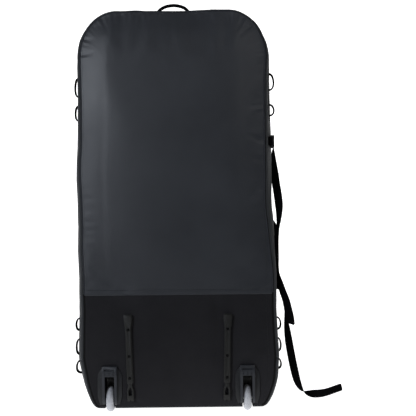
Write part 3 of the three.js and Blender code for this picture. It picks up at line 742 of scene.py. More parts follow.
def shell_arrays():
    """Vertices, quads, the panel of each quad, and each quad corner's place on the cloth."""
    stations = right_stations()
    last = len(stations) - 1
    fractions = 0.5 - 0.5 * np.cos(np.linspace(0, math.pi, COLUMNS + 1))
    fractions = 0.35 * fractions + 0.65 * np.linspace(0, 1, COLUMNS + 1)
    ring = [("base", f) for f in fractions]
    ring += [("right", k) for k in range(1, last)]
    ring += [("top", f) for f in fractions[::-1]]
    ring += [("left", k) for k in range(last - 1, 0, -1)]
    count = len(ring)

    def ring_xz(stop, seam):
        kind, value = stop
        if kind in ("base", "top"):
            end = outline_point(*stations[0 if kind == "base" else last], seam)
            return (2 * value - 1) * end[0], end[1]
        x, z = outline_point(*stations[value], seam)
        return (x if kind == "right" else -x), z

    depths = MID_Y + (FRONT - REAR) / 2 * np.sin(np.linspace(-math.pi / 2, math.pi / 2,
                                                           DEPTHS + 1) * 0.999) ** 1
    depths = 0.45 * depths + 0.55 * np.linspace(REAR, FRONT, DEPTHS + 1)
    depths[0], depths[-1] = REAR, FRONT
    verts = []
    for y in depths:
        seam = seam_share(y)
        for stop in ring:
            x, z = ring_xz(stop, seam)
            verts.append((x, y, z))
    faces, panels, spots = [], [], []
    rim = np.array([ring_xz(stop, 1.0) for stop in ring])
    steps = np.linalg.norm(np.roll(rim, -1, 0) - rim, axis=1)
    along = np.concatenate([[0], np.cumsum(steps)])

    def ring_panel(j):
        a, b = ring[j], ring[(j + 1) % count]
        if a[0] == b[0] == "base":
            return 5
        if a[0] == b[0] == "top":
            return 4
        ks = [value if kind in ("left", "right") else (0 if kind == "base" else last)
              for kind, value in (a, b)]
        curve = stations[min(ks)][0]
        if curve == "side":
            return 3 if "right" in (a[0], b[0]) else 2
        return 5 if curve == "lower" else 4

    for i in range(DEPTHS):
        for j in range(count):
            k = (j + 1) % count
            faces.append((i * count + j, i * count + k, (i + 1) * count + k,
                          (i + 1) * count + j))
            panels.append(ring_panel(j))
            spots.append([(along[j], depths[i]), (along[j + 1], depths[i]),
                          (along[j + 1], depths[i + 1]), (along[j], depths[i + 1])])
    split_row = min(range(last), key=lambda k: abs(outline_point(*stations[k], 1)[1] - SPLIT))

    def ring_index(row, column):
        if row == 0:
            return column
        if row == last:
            return COLUMNS + 1 + (last - 1) + (COLUMNS - column)
        if column == COLUMNS:
            return COLUMNS + row
        return count - row

    for level, y in ((0, REAR), (DEPTHS, FRONT)):
        grid = {}
        for row in range(last + 1):
            edge = ring_index(row, COLUMNS)
            x, z = rim[edge]
            for column, f in enumerate(fractions):
                if row in (0, last) or column in (0, COLUMNS):
                    grid[row, column] = level * count + ring_index(row, column)
                else:
                    grid[row, column] = len(verts)
                    verts.append(((2 * f - 1) * x, y, z))
        for row in range(last):
            for column in range(COLUMNS):
                quad = [grid[row, column], grid[row, column + 1],
                        grid[row + 1, column + 1], grid[row + 1, column]]
                if level:
                    quad.reverse()
                faces.append(tuple(quad))
                if level:
                    panels.append(6)
                else:
                    panels.append(1 if row < split_row else 0)
                spots.append([(verts[v][0], verts[v][2]) for v in quad])
    return np.array(verts), faces, panels, spots


def crown_shape(p):
    """How far the padding pushes each point of the plain loft outward."""
    x, y, z = p[:, 0], p[:, 1], p[:, 2]
    push = np.zeros_like(p)
    rear = y < REAR + 1e-5
    width = half_width(z)
    left, right = width + x, width - x
    # the upper rear panel: a shallow pillow; its left facet ends in a knee near the top
    low_down = smoothstep((1.02 - z) / 0.36)
    rise = 0.0096 * roll_off(left, 0.066 + 0.062 * low_down, 0.14 + 0.50 * low_down)
    rise += 0.0042 * roll_off(left, 0.19, 0.30)
    rise *= roll_off(right, 0.085, 0.30) * roll_off(SEAM_TOP - z, 0.062, 0.28)
    rise *= roll_off(z - SPLIT + 0.004, 0.085, 0.3)
    upper = rear & (z > SPLIT)
    push[upper, 1] -= rise[upper]
    # the lower one is held flat by its board, and swells a little beside the rails
    lower = rear & (z <= SPLIT)
    rails = np.abs(np.abs(x) - 0.145) - 0.020
    swell = 0.004 * smoothstep(rails / 0.04)
    swell *= roll_off(np.minimum(left, right), 0.04, 0.3)
    swell *= roll_off(SPLIT - z, 0.035, 0.3) * smoothstep((z - 0.10) / 0.08)
    push[lower, 1] -= swell[lower]
    # the lid is a pillow too, flat beside the zip
    front = y > FRONT - 1e-5
    lid = 0.006 * smoothstep((zip_distance(x, z) - 0.022) / 0.06)
    lid *= smoothstep((z - 0.085) / 0.07)
    push[front, 1] += lid[front]
    return push


# Folds that the rear cloth keeps: from (x, z), to (x, z), half-width, height.
FOLDS = [
    ((-0.268, 1.104), (-0.240, 1.100), 0.0050, -0.0018),
    ((-0.272, 1.058), (-0.238, 1.062), 0.0055, -0.0018),
    ((-0.262, 1.128), (-0.236, 1.150), 0.0060, -0.0014),
    ((-0.205, 1.165), (-0.190, 1.120), 0.0060, -0.0012),
    ((0.205, 1.160), (0.186, 1.122), 0.0060, -0.0012),
    ((0.232, 1.140), (0.205, 1.112), 0.0060, -0.0014),
    ((0.252, 1.112), (0.222, 1.094), 0.0060, -0.0012),
    ((0.268, 0.905), (0.236, 0.900), 0.0055, -0.0014),
    ((0.270, 0.885), (0.243, 0.878), 0.0050, -0.0010),
    ((0.270, 0.800), (0.232, 0.812), 0.0060, -0.0014),
    ((0.272, 0.742), (0.240, 0.748), 0.0055, -0.0012),
    ((0.225, 0.352), (0.274, 0.384), 0.0060, 0.0024),
    ((0.150, 0.352), (0.235, 0.372), 0.0080, 0.0012),
    ((0.160, 0.286), (0.188, 0.309), 0.0045, 0.0022),
    ((0.165, 0.312), (0.192, 0.324), 0.0050, 0.0016),
    ((0.118, 0.285), (0.112, 0.338), 0.0090, -0.0014),
    ((-0.085, 0.318), (-0.088, 0.346), 0.0050, -0.0012),
    ((-0.060, 0.322), (-0.058, 0.346), 0.0050, -0.0012),
    ((-0.030, 0.325), (-0.034, 0.346), 0.0045, -0.0010),
    ((-0.130, 0.036), (-0.098, 0.018), 0.0060, -0.0020),
]


def loose_shape(p):
    """Puckers and folds that the cloth keeps, as a push outward, for points before the slump."""
    x, y, z = p[:, 0], p[:, 1], p[:, 2]
    push = np.zeros(len(p))
    width = half_width(z)
    rear = smoothstep((REAR + 0.004 - y) / 0.003)
    face = rear * (z > SPLIT)
    edge = np.minimum(width - np.abs(x), 1)
    # gathers below the top seam, strongest left of the handle
    drop = np.maximum(SEAM_TOP - z, 0)
    gather = np.cos(TAU * x / 0.0205 + 1.6 * wander(x, 14.0, 3.3))
    reach = np.exp(-((x + 0.10) / 0.085) ** 2) + 0.30
    hush = np.abs(x) < 0.175
    push += face * hush * reach * 0.0009 * gather * (drop / 0.010) * np.exp(1 - drop / 0.010) \
        * np.exp(-drop / 0.05)
    # fans of puckers round the top corners
    cx = SHOULDER - CORNER_RX
    dx, dz = np.abs(x) - cx, z - SHOULDER_Z
    corner = (dx > 0) & (dz > -0.02)
    turn = np.arctan2(dz, np.maximum(dx, 1e-4))
    rim = np.hypot(dx / 0.117, dz / 0.137)
    inside = np.maximum(1 - rim, 0) * 0.125
    fan = np.cos(43 * turn + 2.2 * wander(turn, 2.5, 7.7))
    push += face * corner * 0.0005 * fan * (inside / 0.012) * np.exp(1 - inside / 0.012)
    # pulls along the two long seams, in patches
    patches = np.clip(wander(z, 5.0, 9.1) + 0.25, 0, 1)
    pull = np.cos(TAU * z / 0.031 + 2.5 * wander(z, 11.0, 2.2) + 6 * np.abs(x))
    push += rear * 0.0003 * patches * pull * (edge / 0.012) * np.exp(1 - edge / 0.012)
    # the broad unevenness of foam under cloth
    broad = np.array([noise.noise(Vector((a * 5.5, b * 9, c * 3.4))) for a, b, c in p])
    calm = np.where(np.abs(zip_distance(x, z)) < 0.03, 0.0, 1.0)
    calm = np.where(y > FRONT - 0.002, calm, 1.0)
    push += 0.0016 * broad * smoothstep(edge / 0.05) * calm * (z > 0.12)
    for (x0, z0), (x1, z1), half, height in FOLDS:
        dx, dz = x1 - x0, z1 - z0
        t = np.clip(((x - x0) * dx + (z - z0) * dz) / (dx * dx + dz * dz), 0, 1)
        away = np.hypot(x - x0 - t * dx, z - z0 - t * dz)
        push += rear * height * np.exp(-(away / half) ** 2) * (1 - 0.6 * t)
    # a soft hollow low on the right
    hollow = np.hypot((x - 0.19) / 0.055, (z - 0.43) / 0.045)
    return push - rear * 0.0030 * np.exp(-hollow ** 2)


def group_of(obj, name, weights):
    group = obj.vertex_groups.new(name=name)
    for index, weight in enumerate(weights):
        if weight > 0.001:
            group.add([index], float(weight), "REPLACE")
    return group


def held_points(p):
    """1 where the cloth is sewn, screwed down or strapped; 0 where it may move."""
    x, y, z = p[:, 0], p[:, 1], p[:, 2]
    held = np.zeros(len(p))
    rear, front = y < REAR + 1e-5, y > FRONT - 1e-5
    width = half_width(z)
    rim = (np.abs(x) > width - 1e-4) | (z > SEAM_TOP - 1e-4) | (z < SEAM_BASE + 1e-4)
    held[(rear | front) & rim] = 1
    held[rear & (np.abs(z - SPLIT) < 0.006)] = 1
    rails = (np.abs(np.abs(x) - 0.145) < 0.034) & (z < 0.305)
    housings = (np.abs(np.abs(x) - 0.203) < 0.045) & (z < 0.155)
    held[rear & (z < SPLIT) & (rails | housings)] = 1
    held[z < 0.10] = 1
    side = ~rear & ~front
    for height in (high("upper_strap_rear").z, high("lower_strap_rear").z):
        strap = np.abs(z - (height - WEBBING / 2)) < 0.016
        held[side & (x > 0) & strap] = 1
    for node in ("loops_left_upper", "loops_left_lower", "loops_right_upper",
                 "loops_right_lower", "side_handle", "side_anchor_left"):
        lo, hi = low(node), high(node)
        inside = (y > lo.y - 0.012) & (y < hi.y + 0.012) & (z > lo.z - 0.01) & (z < hi.z + 0.01)
        held[side & inside & (np.sign(x) == np.sign(lo.x))] = 1
    zip_gap = zip_distance(x, z)
    held[front & (np.abs(zip_gap) < 0.022)] = 1
    held[front & (np.abs(z - low("zip_chain").z) < 0.02)] = 1
    held[side & (z > 1.17) & (np.abs(x) < 0.09)] = 1
    return held


def zip_distance(x, z):
    """Signed distance in the front face from the zip's line, positive inside the lid."""
    half = high("zip_chain").x - 0.0045
    arch = 0.110 - 0.0045
    top = high("zip_chain").z - 0.0045
    inside_x = half - np.abs(x)
    straight = np.minimum(inside_x, top - z)
    dx = np.abs(x) - (half - arch)
    dz = z - (top - arch)
    corner = (dx > 0) & (dz > 0)
    return np.where(corner, arch - np.hypot(dx, dz), straight)


def settle(obj, held, frames=18):
    """Lets the cloth find its folds: padding pressure against the sewn lines."""
    group_of(obj, "held", held)
    cloth = obj.modifiers.new("cloth", "CLOTH")
    s = cloth.settings
    s.quality = 6
    s.mass = 0.25
    s.tension_stiffness = s.compression_stiffness = 25
    s.shear_stiffness = 12
    s.bending_stiffness = 0.35
    s.tension_damping = s.compression_damping = s.shear_damping = 6
    s.air_damping = 2
    s.vertex_group_mass = "held"
    s.pin_stiffness = 1
    s.use_pressure = True
    s.uniform_pressure_force = 1.1
    s.shrink_min = -0.018
    s.shrink_max = -0.006
    s.effector_weights.gravity = 0.4
    cloth.collision_settings.use_collision = False
    cloth.collision_settings.use_self_collision = False
    cloth.point_cache.frame_start = 1
    cloth.point_cache.frame_end = frames
    scene = bpy.context.scene
    for step in range(1, frames + 1):
        scene.frame_set(step)
    graph = bpy.context.evaluated_depsgraph_get()
    mesh = obj.evaluated_get(graph).to_mesh()
    moved = np.empty(len(mesh.vertices) * 3)
    mesh.vertices.foreach_get("co", moved)
    obj.modifiers.remove(cloth)
    scene.frame_set(1)
    return moved.reshape(-1, 3)


def positions(mesh):
    flat = np.empty(len(mesh.vertices) * 3)
    mesh.vertices.foreach_get("co", flat)
    return flat.reshape(-1, 3)


def normals(mesh):
    flat = np.empty(len(mesh.vertices) * 3)
    mesh.vertices.foreach_get("normal", flat)
    return flat.reshape(-1, 3)


def move_to(mesh, p):
    mesh.vertices.foreach_set("co", np.asarray(p, float).ravel())
    mesh.update()


def make_shell():
    verts, faces, panels, spots = shell_arrays()
    verts = verts + crown_shape(verts)
    shell = add_object("shell", verts, faces, None)
    for cloth in CLOTHS:
        shell.data.materials.append(cloth)
    shell.data.polygons.foreach_set("material_index", panels)
    layer = shell.data.uv_layers.new(name="cloth")
    layer.data.foreach_set("uv", np.array(spots, float).reshape(-1))
    held = held_points(verts)
    moved = settle(shell, held)
    shift = moved - verts
    size = np.linalg.norm(shift, axis=1, keepdims=True)
    limit = np.where(np.abs(verts[:, 0]) > 0.20, 0.0008, 0.0014)[:, None]
    shift *= limit * np.tanh(0.6 * size / limit) / np.maximum(size, 1e-9)
    move_to(shell.data, verts + shift)
    # sharp creases along the two bound seams
    crease = shell.data.attributes.new("crease_edge", "FLOAT", "EDGE")
    rim = {}
    for poly in shell.data.polygons:
        for key in poly.edge_keys:
            rim.setdefault(key, set()).add(poly.material_index)
    faces_on = {0, 1, 6}
    for edge in shell.data.edges:
        kinds = rim[tuple(sorted(edge.vertices))]
        if len(kinds) == 2 and len(kinds & faces_on) == 1:
            crease.data[edge.index].value = 0.85
    modifier = shell.modifiers.new("fine", "SUBSURF")
    modifier.levels = modifier.render_levels = 1
    bake(shell)
    p = positions(shell.data)
    p += normals(shell.data) * loose_shape(p)[:, None]
    move_to(shell.data, slumped(p))
    return shell


def wall_piece(shell, index, name, thickness=WALL):
    """One panel of the shell, with its thickness and its lining on the inside."""
    mesh = shell.data
    p, n = positions(mesh), normals(mesh)
    polys = [q for q in mesh.polygons if q.material_index == index]
    used = sorted({v for q in polys for v in q.vertices})
    slot = {v: i for i, v in enumerate(used)}
    outer = [tuple(p[v]) for v in used]
    inner = [tuple(p[v] - n[v] * thickness) for v in used]
    count = len(used)
    source = mesh.uv_layers["cloth"].data
    faces, spots, kinds, borders = [], [], [], {}
    for q in polys:
        ring = [slot[v] for v in q.vertices]
        uv = [tuple(source[k].uv) for k in q.loop_indices]
        faces.append(ring)
        spots.append(uv)
        kinds.append(0)
        faces.append([v + count for v in reversed(ring)])
        spots.append(uv[::-1])
        kinds.append(1)
        for k in range(len(ring)):
            a, b = ring[k], ring[(k + 1) % len(ring)]
            if (b, a) in borders:
                del borders[b, a]
            else:
                borders[a, b] = (uv[k], uv[(k + 1) % len(ring)])
    for (a, b), (ua, ub) in borders.items():
        faces.append([b, a, a + count, b + count])
        spots.append([ub, ua, ua, ub])
        kinds.append(1)
    obj = add_object(name, outer + inner, faces, mesh.materials[index])
    obj.data.materials.append(LINING)
    obj.data.polygons.foreach_set("material_index", kinds)
    layer = obj.data.uv_layers.new(name="cloth")
    layer.data.foreach_set("uv", np.array([c for uv in spots for c in uv], float).ravel())
    return obj


def opening_outline(inset, base):
    """The zip opening's outline, closed along its base, counter-clockwise in (x, z)."""
    half = 0.232 - inset
    arch = 0.110 - inset
    top = 1.120 - inset
    points = [(half, base), (half, top - arch)]
    for k in range(1, 17):
        a = math.pi / 2 * k / 16
        points.append((half - arch + arch * math.cos(a), top - arch + arch * math.sin(a)))
    points += [(-x, z) for x, z in reversed(points[2:])]
    return points + [(-half, base)]


def prism(name, outline, y0, y1):
    """A closed prism of an (x, z) outline between two depths."""
    count = len(outline)
    verts = [(x, y0, z) for x, z in outline] + [(x, y1, z) for x, z in outline]
    faces = [tuple(range(count)), tuple(reversed(range(count, 2 * count)))]
    faces += [(k, k + count, (k + 1) % count + count, (k + 1) % count) for k in range(count)]
    return face_outward(add_object(name, verts, faces, None, smooth=False))


SHELL = make_shell()


def finish_wall(piece, node, body="bag"):
    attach(piece, body)
    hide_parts(node)


def cut_wheel_slots(piece):
    for side in (-1, 1):
        x = side * 0.203
        for half, base, top in ((0.022, low("wheel_housing_left").z, 0.114),
                                (0.0150, -0.05, low("wheel_housing_left").z + 1 * MM)):
            boolean(piece, block("slot", (x - half, REAR - 0.05, base),
                                 (x + half, -0.065, top)))


def make_walls():
    rear_upper = wall_piece(SHELL, 0, "wall_rear_upper")
    finish_wall(rear_upper, "rear_panel_upper")
    rear_lower = wall_piece(SHELL, 1, "wall_rear_lower")
    cut_wheel_slots(rear_lower)
    finish_wall(rear_lower, "rear_panel_lower")
    base = wall_piece(SHELL, 5, "wall_base")
    cut_wheel_slots(base)
    finish_wall(base, "base_panel")
    finish_wall(wall_piece(SHELL, 2, "wall_left"), "side_panel_left")
    finish_wall(wall_piece(SHELL, 3, "wall_right"), "side_panel_right")
    finish_wall(wall_piece(SHELL, 4, "wall_crown"), "top_panel")
    front = wall_piece(SHELL, 6, "front_lid_padding")
    border = front.copy()
    border.data = front.data.copy()
    border.name = "wall_front_border"
    bpy.context.scene.collection.objects.link(border)
    hinge = low("front_lid").z
    boolean(border, prism("hole", opening_outline(0.0002, hinge - 0.0003), 0.1, 0.2))
    finish_wall(border, "front_border")
    edge = 0.232 - high("front_lid").x
    boolean(front, prism("cover", opening_outline(edge, hinge), 0.1, 0.2), "INTERSECT")
    front.data.materials[0] = COATED
    finish_wall(front, "front_lid", "lid")


make_walls()


# ---- surface lookups on the finished shell -------------------------------------------------
from mathutils.bvhtree import BVHTree

GRAPH_MESH = SHELL.data
TREE = BVHTree.FromPolygons([v.co.copy() for v in GRAPH_MESH.vertices],
                            [tuple(q.vertices) for q in GRAPH_MESH.polygons])


def on_rear(x, z, lift=0.0):
    """The point of the rear face at (x, z), lifted off the cloth."""
    hit, normal, _, _ = TREE.ray_cast(Vector((x, REAR - 0.1, z)), Vector((0, 1, 0)))
    if hit is None:
        return Vector((x, REAR - lift, z))
    return hit + Vector((0, -lift, 0))


def on_side(side, y, z, lift=0.0):
    hit, normal, _, _ = TREE.ray_cast(Vector((side * 0.5, y, z)), Vector((-side, 0, 0)))
    return hit + Vector((side * lift, 0, 0))


def on_front(x, z, lift=0.0):
    hit, normal, _, _ = TREE.ray_cast(Vector((x, FRONT + 0.1, z)), Vector((0, -1, 0)))
    return hit + Vector((0, lift, 0))


# ---- seams, hems and stitches --------------------------------------------------------------
def rear_outline(inset, y_lift, face=on_rear):
    """A loop just inside the bound edge, lying on the cloth."""
    right = [outline_point(c, u, 1) for c, u in right_stations()]
    loop = [(x, z) for x, z in right] + [(-x, z) for x, z in reversed(right)]
    loop = [Vector(p) for p in slumped([(x, 0, z) for x, z in loop])]
    dense = evenly(loop + [loop[0]], 520)[:-1]
    count = len(dense)
    points = []
    for i, p in enumerate(dense):
        tangent = (dense[(i + 2) % count] - dense[i - 2]).normalized()
        inward = Vector((-tangent.z, 0, tangent.x))
        q = p + inward * inset
        points.append(face(q.x, q.z, y_lift))
    return points


def stitch_row(name, points, body="bag", pitch=4.2 * MM, length=2.9 * MM, radius=0.32 * MM,
               material=None):
    """Separate stitches along a line, each a short rounded thread sunk at both ends."""
    total = path_length(points)
    count = max(2, int(total / pitch))
    spots = evenly(points, count * 2)
    verts, faces = [], []
    for k in range(count):
        a, b = spots[2 * k], spots[min(2 * k + 1, len(spots) - 1)]
        along = (b - a)
        if along.length < 1e-6:
            continue
        along.normalize()
        mid = (a + b) / 2
        side = along.cross(Vector((0.13, 1, 0.07))).normalized()
        other = side.cross(along)
        first = len(verts)
        for t, r in ((-0.5, 0.35), (-0.3, 1.0), (0.3, 1.0), (0.5, 0.35)):
            centre = mid + along * (length * t)
            for j in range(5):
                angle = TAU * j / 5
                verts.append(centre + (side * math.cos(angle) + other * math.sin(angle))
                             * (radius * r))
        for i in range(3):
            for j in range(5):
                a0, b0 = first + i * 5 + j, first + i * 5 + (j + 1) % 5
                faces.append((a0, b0, b0 + 5, a0 + 5))
        faces.append(tuple(range(first + 4, first - 1, -1)))
        faces.append(tuple(range(first + 15, first + 20)))
    uv = np.zeros((len(verts), 2))
    piece = add_object(name, verts, faces, material or THREAD, uv)
    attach(piece, body)
    return piece


def make_bindings():
    right = [outline_point(c, u, 1) for c, u in right_stations()]
    loop = [Vector((x, REAR + 0.9 * MM, z)) for x, z in right]
    loop += [Vector((-x, REAR + 0.9 * MM, z)) for x, z in reversed(right)]
    loop = [Vector(p) for p in slumped(loop)]
    start = next(k for k, p in enumerate(loop) if p.x > 0.226)
    path = evenly(loop[start:len(loop) - start], 420)
    piece = tube("binding_rear", path, 2.3 * MM, PIPING, sides=12)
    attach(piece, "bag")
    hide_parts("piping_rear")
    loop = [Vector((p.x, FRONT - 0.9 * MM, p.z)) for p in loop]
    piece = tube("binding_front", evenly(loop + [loop[0]], 421)[:-1], 2.3 * MM, PIPING,
                 sides=12, closed=True)
    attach(piece, "bag")
    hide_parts("piping_front")


make_bindings()


# ---- webbing sewn to the walls -------------------------------------------------------------
def sewn(piece, *nodes, body="bag", slot="webbing"):
    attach(piece, body)
    if nodes:
        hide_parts(*nodes)
    return piece


def tack(name, centre, across, along, width, body="bag"):
    """A bartack: five close rows of thread across the webbing."""
    across, along = Vector(across).normalized(), Vector(along).normalized()
    rows = []
    for k in range(5):
        start = Vector(centre) + along * ((k - 2) * 0.7 * MM) - across * (width / 2)
        rows.append(stitch_row(f"{name}_{k}", [start, start + across * width], body,
                               pitch=2.0 * MM, length=2.3 * MM, radius=0.35 * MM,
                               material=BINDING))
    piece = join(name, rows)
    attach(piece, body)
    return piece


LOOPS = {
    "loops_left_upper": (-1, [(0.867, 0.909), (0.938, 0.991)]),
    "loops_left_lower": (-1, [(0.115, 0.150), (0.171, 0.215), (0.242, 0.277)]),
    "loops_right_upper": (1, [(0.876, 0.908), (0.952, 1.000)]),
    "loops_right_lower": (1, [(0.122, 0.150), (0.174, 0.212), (0.239, 0.274)]),
}


LOOP_REACH = {"loops_left_upper": 3 * MM, "loops_left_lower": -4.5 * MM,
              "loops_right_upper": -4 * MM, "loops_right_lower": 2 * MM}


def lash_loops(node, side, loops):
    """A flat base strip with a second strip tacked on it in standing loops."""
    y = (low(node).y + high(node).y) / 2
    width = high(node).y - low(node).y
    reach = max(abs(low(node).x), abs(high(node).x)) + LOOP_REACH[node]
    ends = low(node).z, high(node).z

    def wall(z, lift):
        return on_side(side, y, z, lift)

    base = [wall(z, 1.2 * MM) for z in np.linspace(*ends, 40)]
    across = [Vector((0, 1, 0))] * 400
    strips = [ribbon(node + "_base", base, across, BAND, width=width, ply=1.4 * MM)]
    stops = [(z, 0.0) for z in np.linspace(ends[0] + 0.003, loops[0][0], 4)[:-1]]
    for k, (a, b) in enumerate(loops):
        centre, half = (a + b) / 2, (b - a) / 2
        for t in np.linspace(-90, 90, 25):
            angle = math.radians(t)
            droop = 0.10 * half * math.cos(angle) ** 2
            stops.append((centre + half * math.sin(angle) - droop,
                          max(math.cos(angle), 0) ** 0.72))
        after = loops[k + 1][0] if k + 1 < len(loops) else ends[1] - 0.003
        stops += [(z, 0.0) for z in np.linspace(b, after, 4)[1:-1]]
    stops.append((ends[1] - 0.003, 0.0))
    points = []
    for z, out in stops:
        foot = wall(z, 2.6 * MM)
        points.append(foot + Vector((side * out * (reach - abs(foot.x) - 1.0 * MM), 0, 0)))
    points = smooth_path(points, 220)
    strips.append(ribbon(node + "_loops", points, across, BAND, width=width, ply=4.6 * MM))
    gaps = [(ends[0] + loops[0][0]) / 2, (ends[1] + loops[-1][1]) / 2]
    gaps += [(a[1] + b[0]) / 2 for a, b in zip(loops, loops[1:])]
    sewn(join("webbing_" + node, strips), node)
    for k, z in enumerate(gaps):
        for nudge in (-0.004, 0.004):
            tack(f"tack_{node}_{k}_{nudge > 0}", wall(z + nudge, 3.5 * MM), (0, 1, 0),
                 (0, 0, 1), width * 0.85)


def make_lash_loops():
    for node, (side, loops) in LOOPS.items():
        lash_loops(node, side, loops)
    node = "side_anchor_left"
    y = (low(node).y + high(node).y) / 2
    z = (low(node).z + high(node).z) / 2
    points = [on_side(-1, y, z - 0.010, 1.2 * MM), on_side(-1, y, z - 0.006, 2.2 * MM),
              on_side(-1, y, z, 3.2 * MM), on_side(-1, y, z + 0.006, 2.2 * MM),
              on_side(-1, y, z + 0.010, 1.2 * MM)]
    points = smooth_path(points, 24)
    sewn(ribbon("webbing_" + node, points, [Vector((0, 1, 0))] * 24, BAND,
                width=high(node).y - low(node).y), node)


def side_band(name, z, y0, y1, lift=1.5 * MM, extra=()):
    points = [on_side(1, y, z, lift) for y in np.linspace(y0, y1, 40)]
    points = list(extra) + points
    across = [Vector((0, 0, 1))] * len(points)
    return ribbon(name, points, across, BAND)


def make_side_straps():
    for tag in ("upper", "lower"):
        socket, tongue = f"{tag}_buckle_socket", f"{tag}_buckle_tongue"
        z = (low(socket).z + high(socket).z) / 2
        middle = (low(socket).x + high(socket).x) / 2 - drift(z)
        rear, front = f"{tag}_strap_rear", f"{tag}_strap_front"
        # each half: a band sewn flat, and a fold of it that rises into the buckle
        lies = side_band(rear + "_flat", z, low(rear).y, high(rear).y)
        y = low(socket).y
        rise = smooth_path([on_side(1, y - 0.024, z, 3 * MM) if tag == "lower" else
                            on_side(1, y - 0.008, z, 3 * MM),
                            Vector((middle - 3 * MM, y - 0.002, z)),
                            Vector((middle, y + 0.004, z))], 16)
        fold = ribbon(rear + "_fold", rise, [Vector((0, 0, 1))] * 16, BAND)
        sewn(join("strap_" + rear, [lies, fold]), rear)
        lies = side_band(front + "_flat", z, low(front).y, high(front).y)
        y = high(tongue).y
        rise = smooth_path([on_side(1, min(y + 0.060, 0.128), z, 3 * MM),
                            on_side(1, min(y + 0.040, 0.118), z, 5 * MM),
                            Vector((middle - 1 * MM, y + 0.006, z)),
                            Vector((middle, y - 0.002, z))], 24)
        fold = ribbon(front + "_fold", rise, [Vector((0, 0, 1))] * 24, BAND)
        sewn(join("strap_" + front, [lies]), front)
        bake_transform(fold)
        root = [on_side(1, y, z, 3.0 * MM) for y in np.linspace(REAR + 0.003, REAR + 0.024, 12)]
        sewn(ribbon(f"strap_root_{tag}", root, [Vector((0, 0, 1))] * 12, BAND, width=0.034,
                    ply=2.2 * MM))
        for k, at in enumerate((REAR + 0.020, high(front).y - 0.006)):
            tack(f"tack_{tag}_{k}", on_side(1, at, z, (4.3 - 1.7 * k) * MM), (0, 0, 1), (0, 1, 0),
                 0.021)


def make_handles():
    node = "top_handle"
    lo, hi = low(node), high(node)
    middle = (lo + hi) / 2
    pivot, rise = lo.z + 0.004, hi.z - lo.z - 0.004
    shift = float(lean_at(CROWN))
    points = []
    for k in range(61):
        a = math.pi * k / 60
        points.append(Vector((-(hi.x - 0.0036) * math.cos(a) - shift, middle.y,
                              pivot + (rise - 0.0036) * math.sin(a) ** 0.8)))
    across = [Vector((0, 1, 0))] * 61

    def thickness(t):
        return 0.0056 + 0.0034 * float(smoothstep((0.5 - abs(t - 0.5)) / 0.12))

    grip = ribbon("handle_top", points, across, BINDING, width=thickness, ply=0.0086)
    seam = [p + Vector((0, -0.0037, 0)) for p in points[6:-6]]
    sewn(grip, node, body="carry_handle")
    stitch_row("stitch_handle_top", seam, "carry_handle")
    for side in (-1, 1):
        # the tab that each end is folded into, sewn in the crown
        tab = [Vector((side * x - shift, middle.y, pivot - 0.0035 - 0.0004 * k))
               for k, x in enumerate(np.linspace(0.050, 0.094, 12))]
        tab = [Vector((p.x, p.y, max(p.z, CROWN + 0.0006))) for p in tab]
        tag = "left" if side < 0 else "right"
        sewn(ribbon("handle_tab_" + tag, tab, [Vector((0, 1, 0))] * 12, BAND, width=0.020))
        for k, x in enumerate((0.062, 0.088)):
            tack(f"tack_handle_{tag}_{k}", (side * x - shift, middle.y, CROWN + 0.0017), (0, 1, 0),
                 (1, 0, 0), 0.018)

    node = "side_handle"
    lo, hi = low(node), high(node)
    middle = (lo + hi) / 2
    base = lo.x + 0.003
    half = (hi.z - lo.z) / 2
    points, across = [], []
    for k in range(81):
        a = math.pi * k / 80
        out = max(math.sin(a), 0) ** 0.8
        z = middle.z - (half - 0.002) * math.cos(a)
        points.append(Vector((base - drift(z) + (hi.x - 0.0065 - base) * out, middle.y, z)))
        across.append(Vector((0.85 * out, 1 - 0.45 * out, 0)).normalized())

    def width(t):
        return 0.0062 + 0.0158 * float(smoothstep((0.5 - abs(t - 0.5)) / 0.2))

    sewn(ribbon("handle_side", points, across, BAND, width=width, ply=0.0030), node,
         body="grab_handle")
    for k, side in enumerate((-1, 1)):
        line = [p + wide * (side * 0.0085) + Vector((wide.y, -wide.x, 0)) * 0.0016
                for p, wide in zip(points[22:-22], across[22:-22])]
        stitch_row(f"stitch_handle_side_{k}", line, "grab_handle")
    for k, z in enumerate((lo.z - 0.010, hi.z + 0.010)):
        y = middle.y
        away = -1 if k == 0 else 1
        tab = [on_side(1, y, z + away * d, 1.4 * MM) for d in np.linspace(-0.010, 0.022, 14)]
        sewn(ribbon(f"handle_side_tab_{k}", tab, [Vector((0, 1, 0))] * 14, BAND, width=0.022))
        tack(f"tack_handle_side_{k}", on_side(1, y, z + away * 0.012, 2.4 * MM), (0, 1, 0),
             (0, 0, 1), 0.019)


make_lash_loops()
make_side_straps()
make_handles()


# ---- hems and stitch lines -----------------------------------------------------------------
def patch(name, grid, material, thickness, uv_step=0.01):
    """A sheet through a grid of points, given its thickness towards its back."""
    rows, columns = len(grid), len(grid[0])
    verts = [p for row in grid for p in row]
    faces = []
    for i in range(rows - 1):
        for j in range(columns - 1):
            a = i * columns + j
            faces.append((a, a + 1, a + columns + 1, a + columns))
    uv = [(p[0], p[2]) for p in verts]
    obj = add_object(name, verts, faces, material, uv)
    modifier = obj.modifiers.new("ply", "SOLIDIFY")
    modifier.thickness = thickness
    modifier.offset = 0
    return bake(obj)


